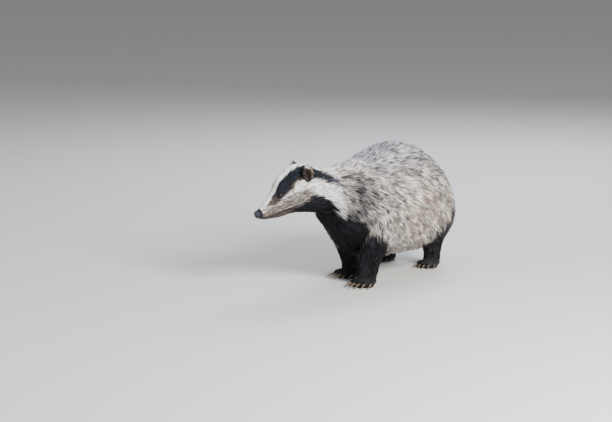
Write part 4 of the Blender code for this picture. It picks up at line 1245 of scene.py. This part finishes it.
def nose_share(points):
    """1 on the bare leather round the nose pad, 0 where the coat begins, with a soft edge."""
    local = points - head_point(NOSE_PAD_PLACE[0], NOSE_PAD_PLACE[1], 0)
    parts = (local @ HEAD_LEFT, local @ HEAD_UP, local @ HEAD_FORWARD)
    return smooth(1.12, 0.90, sum((p / h) ** 2 for p, h in zip(parts, NOSE_LEATHER_HALF)))


def inside_leg(points, shrink):
    """Points inside the top of a leg."""
    found = np.zeros(len(points), bool)
    for rows, _, _ in LEGS:
        rows = np.array(rows)[::-1]
        x, y, across, along = (np.interp(points[:, 2], rows[:, 2], rows[:, k]) for k in (0, 1, 3, 4))
        near = ((points[:, 0] - x) / across) ** 2 + ((points[:, 1] - y) / along) ** 2 < shrink
        found |= near & (points[:, 2] < rows[-1, 2] - 0.012)
    return found


def body_size_at(points):
    """Below 1 for points inside the coat of the body run's own cross section, above 1 outside it."""
    row = spline(BODY, torso_place(points))
    local = points - row[:, :3]
    across = local[:, 0] / row[:, 5]
    high = (local[:, 2] + row[:, 7] * np.clip(across, -1, 1) ** 2) / row[:, 6]
    return across ** 2 + high ** 2


def coat_rings(surface, ends, where, around, size, depth, lie, seed):
    """Long tufts at the given roots; size is length, half width, half thickness and rise of the tips."""
    chance = np.random.default_rng(seed)
    length, half_width, thick, rise = size
    points = surface(where, around)
    count = len(where)
    turns = 0.22 * waves(points, 0.030, seed + 1) + chance.normal(0, 0.10, count)
    stretch = 1 + 0.14 * waves(points, 0.02, seed + 2) + chance.normal(0, 0.14, count)
    tips = chance.normal(0.0, rise, count).clip(-0.003, 2.6 * rise)
    tips = tips + np.where(chance.uniform(size=count) < 0.16, chance.uniform(0.001, 0.0055, count), 0.0)
    sizes = (length * stretch.clip(0.45, 1.5), half_width * chance.uniform(0.75, 1.2, count),
             thick * chance.uniform(0.8, 1.2, count))
    return grow_tufts(surface, ends, where, around, sizes, depth, lie, tips, turns,
                      LONG_PLACES, LONG_WIDTHS)


def map_spots(around, along):
    """Places of tufts on the bake map."""
    return np.stack([(around / (2 * np.pi)) % 1, along], -1)


def joined_parts(parts):
    return [np.concatenate(group) for group in zip(*parts)]


def add_coat(name, rings, colour, band, spots, finish, places, seed, most=0.006):
    rings, locks = gather(rings, places, 11, seed + 1, most)
    shades = hair_shades(colour, band, places, np.random.default_rng(seed), locks)
    piece = tuft_piece(name, rings, shades, places, spots, finish)
    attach(piece, "root")
    return piece


def make_torso_coat(finish):
    """Long coat of torso and neck in pieces of less than 200,000 triangles."""
    for number, (name, slot, start, end, count, *size) in enumerate(TORSO_COATS):
        where, around = spread_roots(body_surface, start, end, count)
        keep = ~inside_leg(body_surface(where, around), 0.72)
        where, around = where[keep], around[keep]
        colour, band = body_colour(body_surface(where, around), where, angle_of(around))
        rings = coat_rings(body_surface, BODY_ENDS, where, around, size, table(COAT_DEPTH, where),
                           body_lie, 100 + number)
        spots = map_spots(around, (where - start) / (end - start))
        add_coat(name, rings, colour, band, spots, finish, LONG_PLACES, 200 + number)


def make_face_coat(finish):
    """Short coat of the head, finest on the muzzle and round the eyes."""
    chance = np.random.default_rng(31)

    def density(where):
        return 1.0 + 1.3 * smooth(14.0, 18.0, where)

    where, around = spread_roots(body_surface, FACE_START, NOSE_PLACE - 0.25, FACE_TUFTS, density)
    outer = body_surface(where, around)
    back, up, _ = head_parts(outer)
    near_mouth = (np.abs(up - table(MOUTH_LINE, back)) < 0.0016) & (back < 0.078)
    eye_gap = np.minimum(*(np.linalg.norm(outer - EYES[s], axis=-1) for s in (1, -1)))
    keep = (nose_share(outer) < 0.5) & ~near_mouth & (eye_gap > 0.0066)
    where, around, outer, eye_gap, back, up = (v[keep] for v in (where, around, outer, eye_gap, back, up))
    eye_back, eye_up, _ = head_parts(EYES[1])
    length = table(FACE_LENGTHS, where)
    by_eye = (back < eye_back + 0.002) & (eye_gap < 0.018)
    length = np.where(by_eye, np.minimum(length, eye_gap - 0.0058), length)
    length = length * chance.normal(1.0, 0.13, len(where)).clip(0.6, 1.4)
    width = table(FACE_WIDTHS, where)
    tips = chance.normal(0.0002, 0.00035, len(where)).clip(-0.0006, 0.0014)
    tips = tips + np.interp(where, (10.7, 12, 16), (0.0004, 0.0003, 0.0))
    turns = 0.18 * waves(outer, 0.016, 32) + chance.normal(0, 0.10, len(where))
    rings = grow_tufts(body_surface, BODY_ENDS, where, around, (length, width, width * 0.5),
                       table(COAT_DEPTH, where), body_lie, tips, turns, SHORT_PLACES, SHORT_WIDTHS)
    colour, band = body_colour(outer, where, angle_of(around))
    ring = np.exp(-(((eye_gap - 0.0085) / 0.0014) ** 2)) * smooth(0.002, -0.003, up - eye_up)
    ring = ring * np.clip(0.75 + 0.4 * waves(outer, 0.005, 34), 0, 1)
    colour = mix(colour, EYE_RING, ring * 0.8)
    spots = map_spots(around, (where - FACE_START) / (NOSE_PLACE - FACE_START))
    add_coat("coat_face", rings, colour, band, spots, finish, SHORT_PLACES, 33, 0.0012)


def leg_tufts(number):
    """Rings, colours, banding and map places of the tufts of one leg."""
    rows = LEGS[number][0]
    surface = leg_surface(rows)
    where, around = spread_roots(surface, 0.35, 4.9, LEG_TUFTS)
    outer = surface(where, around)
    keep = body_size_at(outer) > 0.80
    where, around, outer = (v[keep] for v in (where, around, outer))
    count = len(where)
    chance = np.random.default_rng(50 + number)
    turns = 0.20 * waves(outer, 0.025, 51 + number) + chance.normal(0, 0.12, count)
    length = table(LEG_LENGTHS, where) * chance.normal(1.0, 0.15, count).clip(0.5, 1.5)
    width = table(LEG_WIDTHS, where) * chance.uniform(0.8, 1.2, count)
    tips = chance.normal(0.0, 0.0008, count).clip(-0.002, 0.002)
    proud = np.where(chance.uniform(size=count) < 0.14, chance.uniform(0.001, 0.004, count), 0.0)
    tips = tips + proud * np.interp(where, (0, 3, 5), (1.0, 0.7, 0.2))
    rings = grow_tufts(surface, (0.0, 5.0), where, around, (length, width, width * 0.45),
                       table(LEG_DEPTH, where), leg_lie, tips, turns, LONG_PLACES, LONG_WIDTHS)
    rings[..., 2] = np.maximum(rings[..., 2], FLOOR_CLEAR)
    spots = map_spots(around, where / 5) * (0.5, 1.0) + (0.5 * (number % 2), 0.0)
    return rings, *limb_colour(outer), spots


def make_leg_coats(finish):
    for first, name in ((0, "coat_front_legs"), (2, "coat_hind_legs")):
        rings, colour, band, spots = joined_parts([leg_tufts(first), leg_tufts(first + 1)])
        add_coat(name, rings, colour, band, spots, finish, LONG_PLACES, 60 + first)


def make_tail_coat(finish):
    where, around = spread_roots(tail_surface, 0.3, 5.6, TAIL_TUFTS)
    outer = tail_surface(where, around)
    keep = (body_size_at(outer) > 0.9) | (outer[:, 1] > 0.262)
    where, around, outer = (v[keep] for v in (where, around, outer))
    rings = coat_rings(tail_surface, (0.0, 5.6), where, around, (0.042, 0.0009, 0.0004, 0.0012),
                       tail_depth(where), tail_lie, 70)
    colour, band = tail_colour(outer)
    add_coat("coat_tail", rings, colour, band, map_spots(around, where / 5), finish,
             LONG_PLACES, 71)


def scatter(obj, count, chance):
    """Random points of a mesh in proportion to its area, with normals; the mesh is used up."""
    mesh = obj.data
    mesh.calc_loop_triangles()
    corners = np.empty(len(mesh.loop_triangles) * 3, np.int32)
    mesh.loop_triangles.foreach_get("vertices", corners)
    points = vertex_points(obj)[corners.reshape(-1, 3)]
    bpy.data.objects.remove(obj, do_unlink=True)
    first = points[:, 1] - points[:, 0]
    second = points[:, 2] - points[:, 0]
    normal = np.cross(first, second)
    area = np.linalg.norm(normal, axis=1)
    chosen = chance.choice(len(area), count, p=area / area.sum())
    a, b = chance.uniform(size=(2, count))
    flip = a + b > 1
    a, b = np.where(flip, 1 - a, a), np.where(flip, 1 - b, b)
    place = points[chosen, 0] + a[:, None] * first[chosen] + b[:, None] * second[chosen]
    return place, unit(normal[chosen])


def short_tufts(points, normals, ways, length, lifts):
    sizes = (length, np.full(len(points), SHORT_HALF_WIDTH), np.full(len(points), SHORT_HALF_WIDTH * 0.5))
    return straight_tufts(points, normals, ways, sizes, lifts, SHORT_PLACES, SHORT_WIDTHS)


def make_ear_coat(finish):
    parts = []
    for number, side in enumerate((1, -1)):
        chance = np.random.default_rng(80 + number)
        centre, facing, tall, wide = ear_axes(side)
        points, normals = scatter(make_ear(side), EAR_TUFTS, chance)
        local = points - centre
        deep = local @ facing / EAR_DEPTH
        inner = (normals @ facing > 0.2) & (deep < 0.45)
        keep = ~inner | (chance.uniform(size=len(points)) < 0.80)
        keep &= (local @ tall / EAR_HALF_HEIGHT) > -0.9
        points, normals, local, deep = points[keep], normals[keep], local[keep], deep[keep]
        high = local @ tall / EAR_HALF_HEIGHT
        ways = tall * 0.8 - HEAD_FORWARD * 0.35 + unit(local) * 0.5
        length = np.where(deep > 0.2, 0.0060, 0.0075) * (1 + 0.25 * high)
        length = length * chance.uniform(0.7, 1.2, len(points))
        rings = short_tufts(points, normals, ways, length, chance.uniform(0.0004, 0.0014, len(points)))
        over = 0.25 + 0.5 * number + 0.2 * (local @ wide) / EAR_HALF_WIDTH
        colour = ear_colour(points + ways * 0.003, side)
        parts.append((rings, colour, np.zeros(len(points)), np.stack([over, 0.5 + 0.4 * high], -1)))
    rings, colour, band, spots = joined_parts(parts)
    add_coat("coat_ears", rings, colour, band, spots, finish, SHORT_PLACES, 82)


def make_paw_coat(finish):
    parts = []
    for number, (rows, paw, side) in enumerate(LEGS):
        chance = np.random.default_rng(90 + number)
        ankle, forward, _, up = paw_axes(rows, side)
        for k, piece in enumerate(paw_pieces(rows, paw, side)):
            points, normals = scatter(piece, TOE_TUFTS if k else SOLE_TUFTS, chance)
            keep = (points[:, 2] > 0.0035) & (normals[:, 2] > -0.35)
            points, normals = points[keep], normals[keep]
            length = 0.0062 * chance.uniform(0.7, 1.25, len(points))
            rings = short_tufts(points, normals, forward * 0.9 - up * 0.35, length,
                                chance.uniform(0.0002, 0.0009, len(points)))
            rings[..., 2] = np.maximum(rings[..., 2], FLOOR_CLEAR)
            local = points - ankle
            spots = np.stack([(number + 0.5) / 4 + local[:, 0] * 2.5, 0.5 + local[:, 1] * 5], -1)
            parts.append((rings, limb_colour(points)[0], np.zeros(len(points)), spots.clip(0, 1)))
    rings, colour, band, spots = joined_parts(parts)
    add_coat("coat_paws", rings, colour, band, spots, finish, SHORT_PLACES, 95)


def make_floor():
    bpy.ops.mesh.primitive_plane_add(size=FLOOR_SIZE, location=(0, 0, 0))
    floor = bpy.context.object
    floor.name = "floor"
    floor.data.materials.append(plain_finish("floor_pale", (0.66, 0.655, 0.645, 1.0), 0.85))


def make_studio():
    world = bpy.data.worlds.new("studio")
    world.use_nodes = True
    sky = world.node_tree.nodes["Background"]
    sky.inputs["Color"].default_value = (0.84, 0.86, 0.90, 1.0)
    sky.inputs["Strength"].default_value = 0.36
    bpy.context.scene.world = world
    for name, place, size, power, colour in LIGHTS:
        light = bpy.data.lights.new(name, "AREA")
        light.size = size
        light.energy = power
        light.color = colour
        obj = add_object(name, light)
        obj.location = place
        obj.rotation_euler = (Vector(LIGHT_TARGET) - Vector(place)).to_track_quat("-Z", "Y").to_euler()


def make_camera():
    turn = math.radians(CAMERA_TURN)
    rise = math.radians(CAMERA_RISE)
    right = np.array([math.cos(turn), math.sin(turn), 0.0])
    level = math.cos(rise)
    away = np.array([math.sin(turn) * level, -math.cos(turn) * level, math.sin(rise)])
    aim = right * CAMERA_AIM[0] + np.array([0.0, 0.0, CAMERA_AIM[1]]) - MIDDLE
    camera = add_object("camera", bpy.data.cameras.new("camera"))
    camera.data.sensor_width = SENSOR
    camera.data.lens = SENSOR * FOCAL_PIXELS / PHOTO_WIDTH
    camera.location = Vector(aim + away * CAMERA_DISTANCE)
    camera.rotation_euler = Vector(-away).to_track_quat("-Z", "Y").to_euler()
    bpy.context.scene.camera = camera


skin = make_skin(skin_finish())
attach(skin, "root")
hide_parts("torso", "neck", "head", "tail", "ear_left", "ear_right", "front_leg_left",
            "front_leg_right", "hind_leg_left", "hind_leg_right")
nose = make_nose(nose_finish())
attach(nose, "root")
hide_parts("nose")
eye_look = eye_finish()
for eye_name, eye_side, node in (("left_eye", 1, "eye_left"), ("right_eye", -1, "eye_right")):
    eye = make_eye(eye_name, eye_side, eye_look)
    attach(eye, "root")
    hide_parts(node)
claws = swept_piece("claws", make_claws(), 12, claw_finish())
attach(claws, "root")
whisker_look = plain_finish("whisker", (0.03, 0.028, 0.026, 1.0), 0.4)
whiskers = swept_piece("whiskers", make_whiskers(), 5, whisker_look)
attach(whiskers, "root")
long_hair = hair_finish("guard_hair", 0.62)
short_hair = hair_finish("short_hair", 0.70)
make_torso_coat(long_hair)
make_face_coat(short_hair)
make_leg_coats(long_hair)
make_tail_coat(long_hair)
make_ear_coat(short_hair)
make_paw_coat(short_hair)
make_floor()
make_studio()
make_camera()
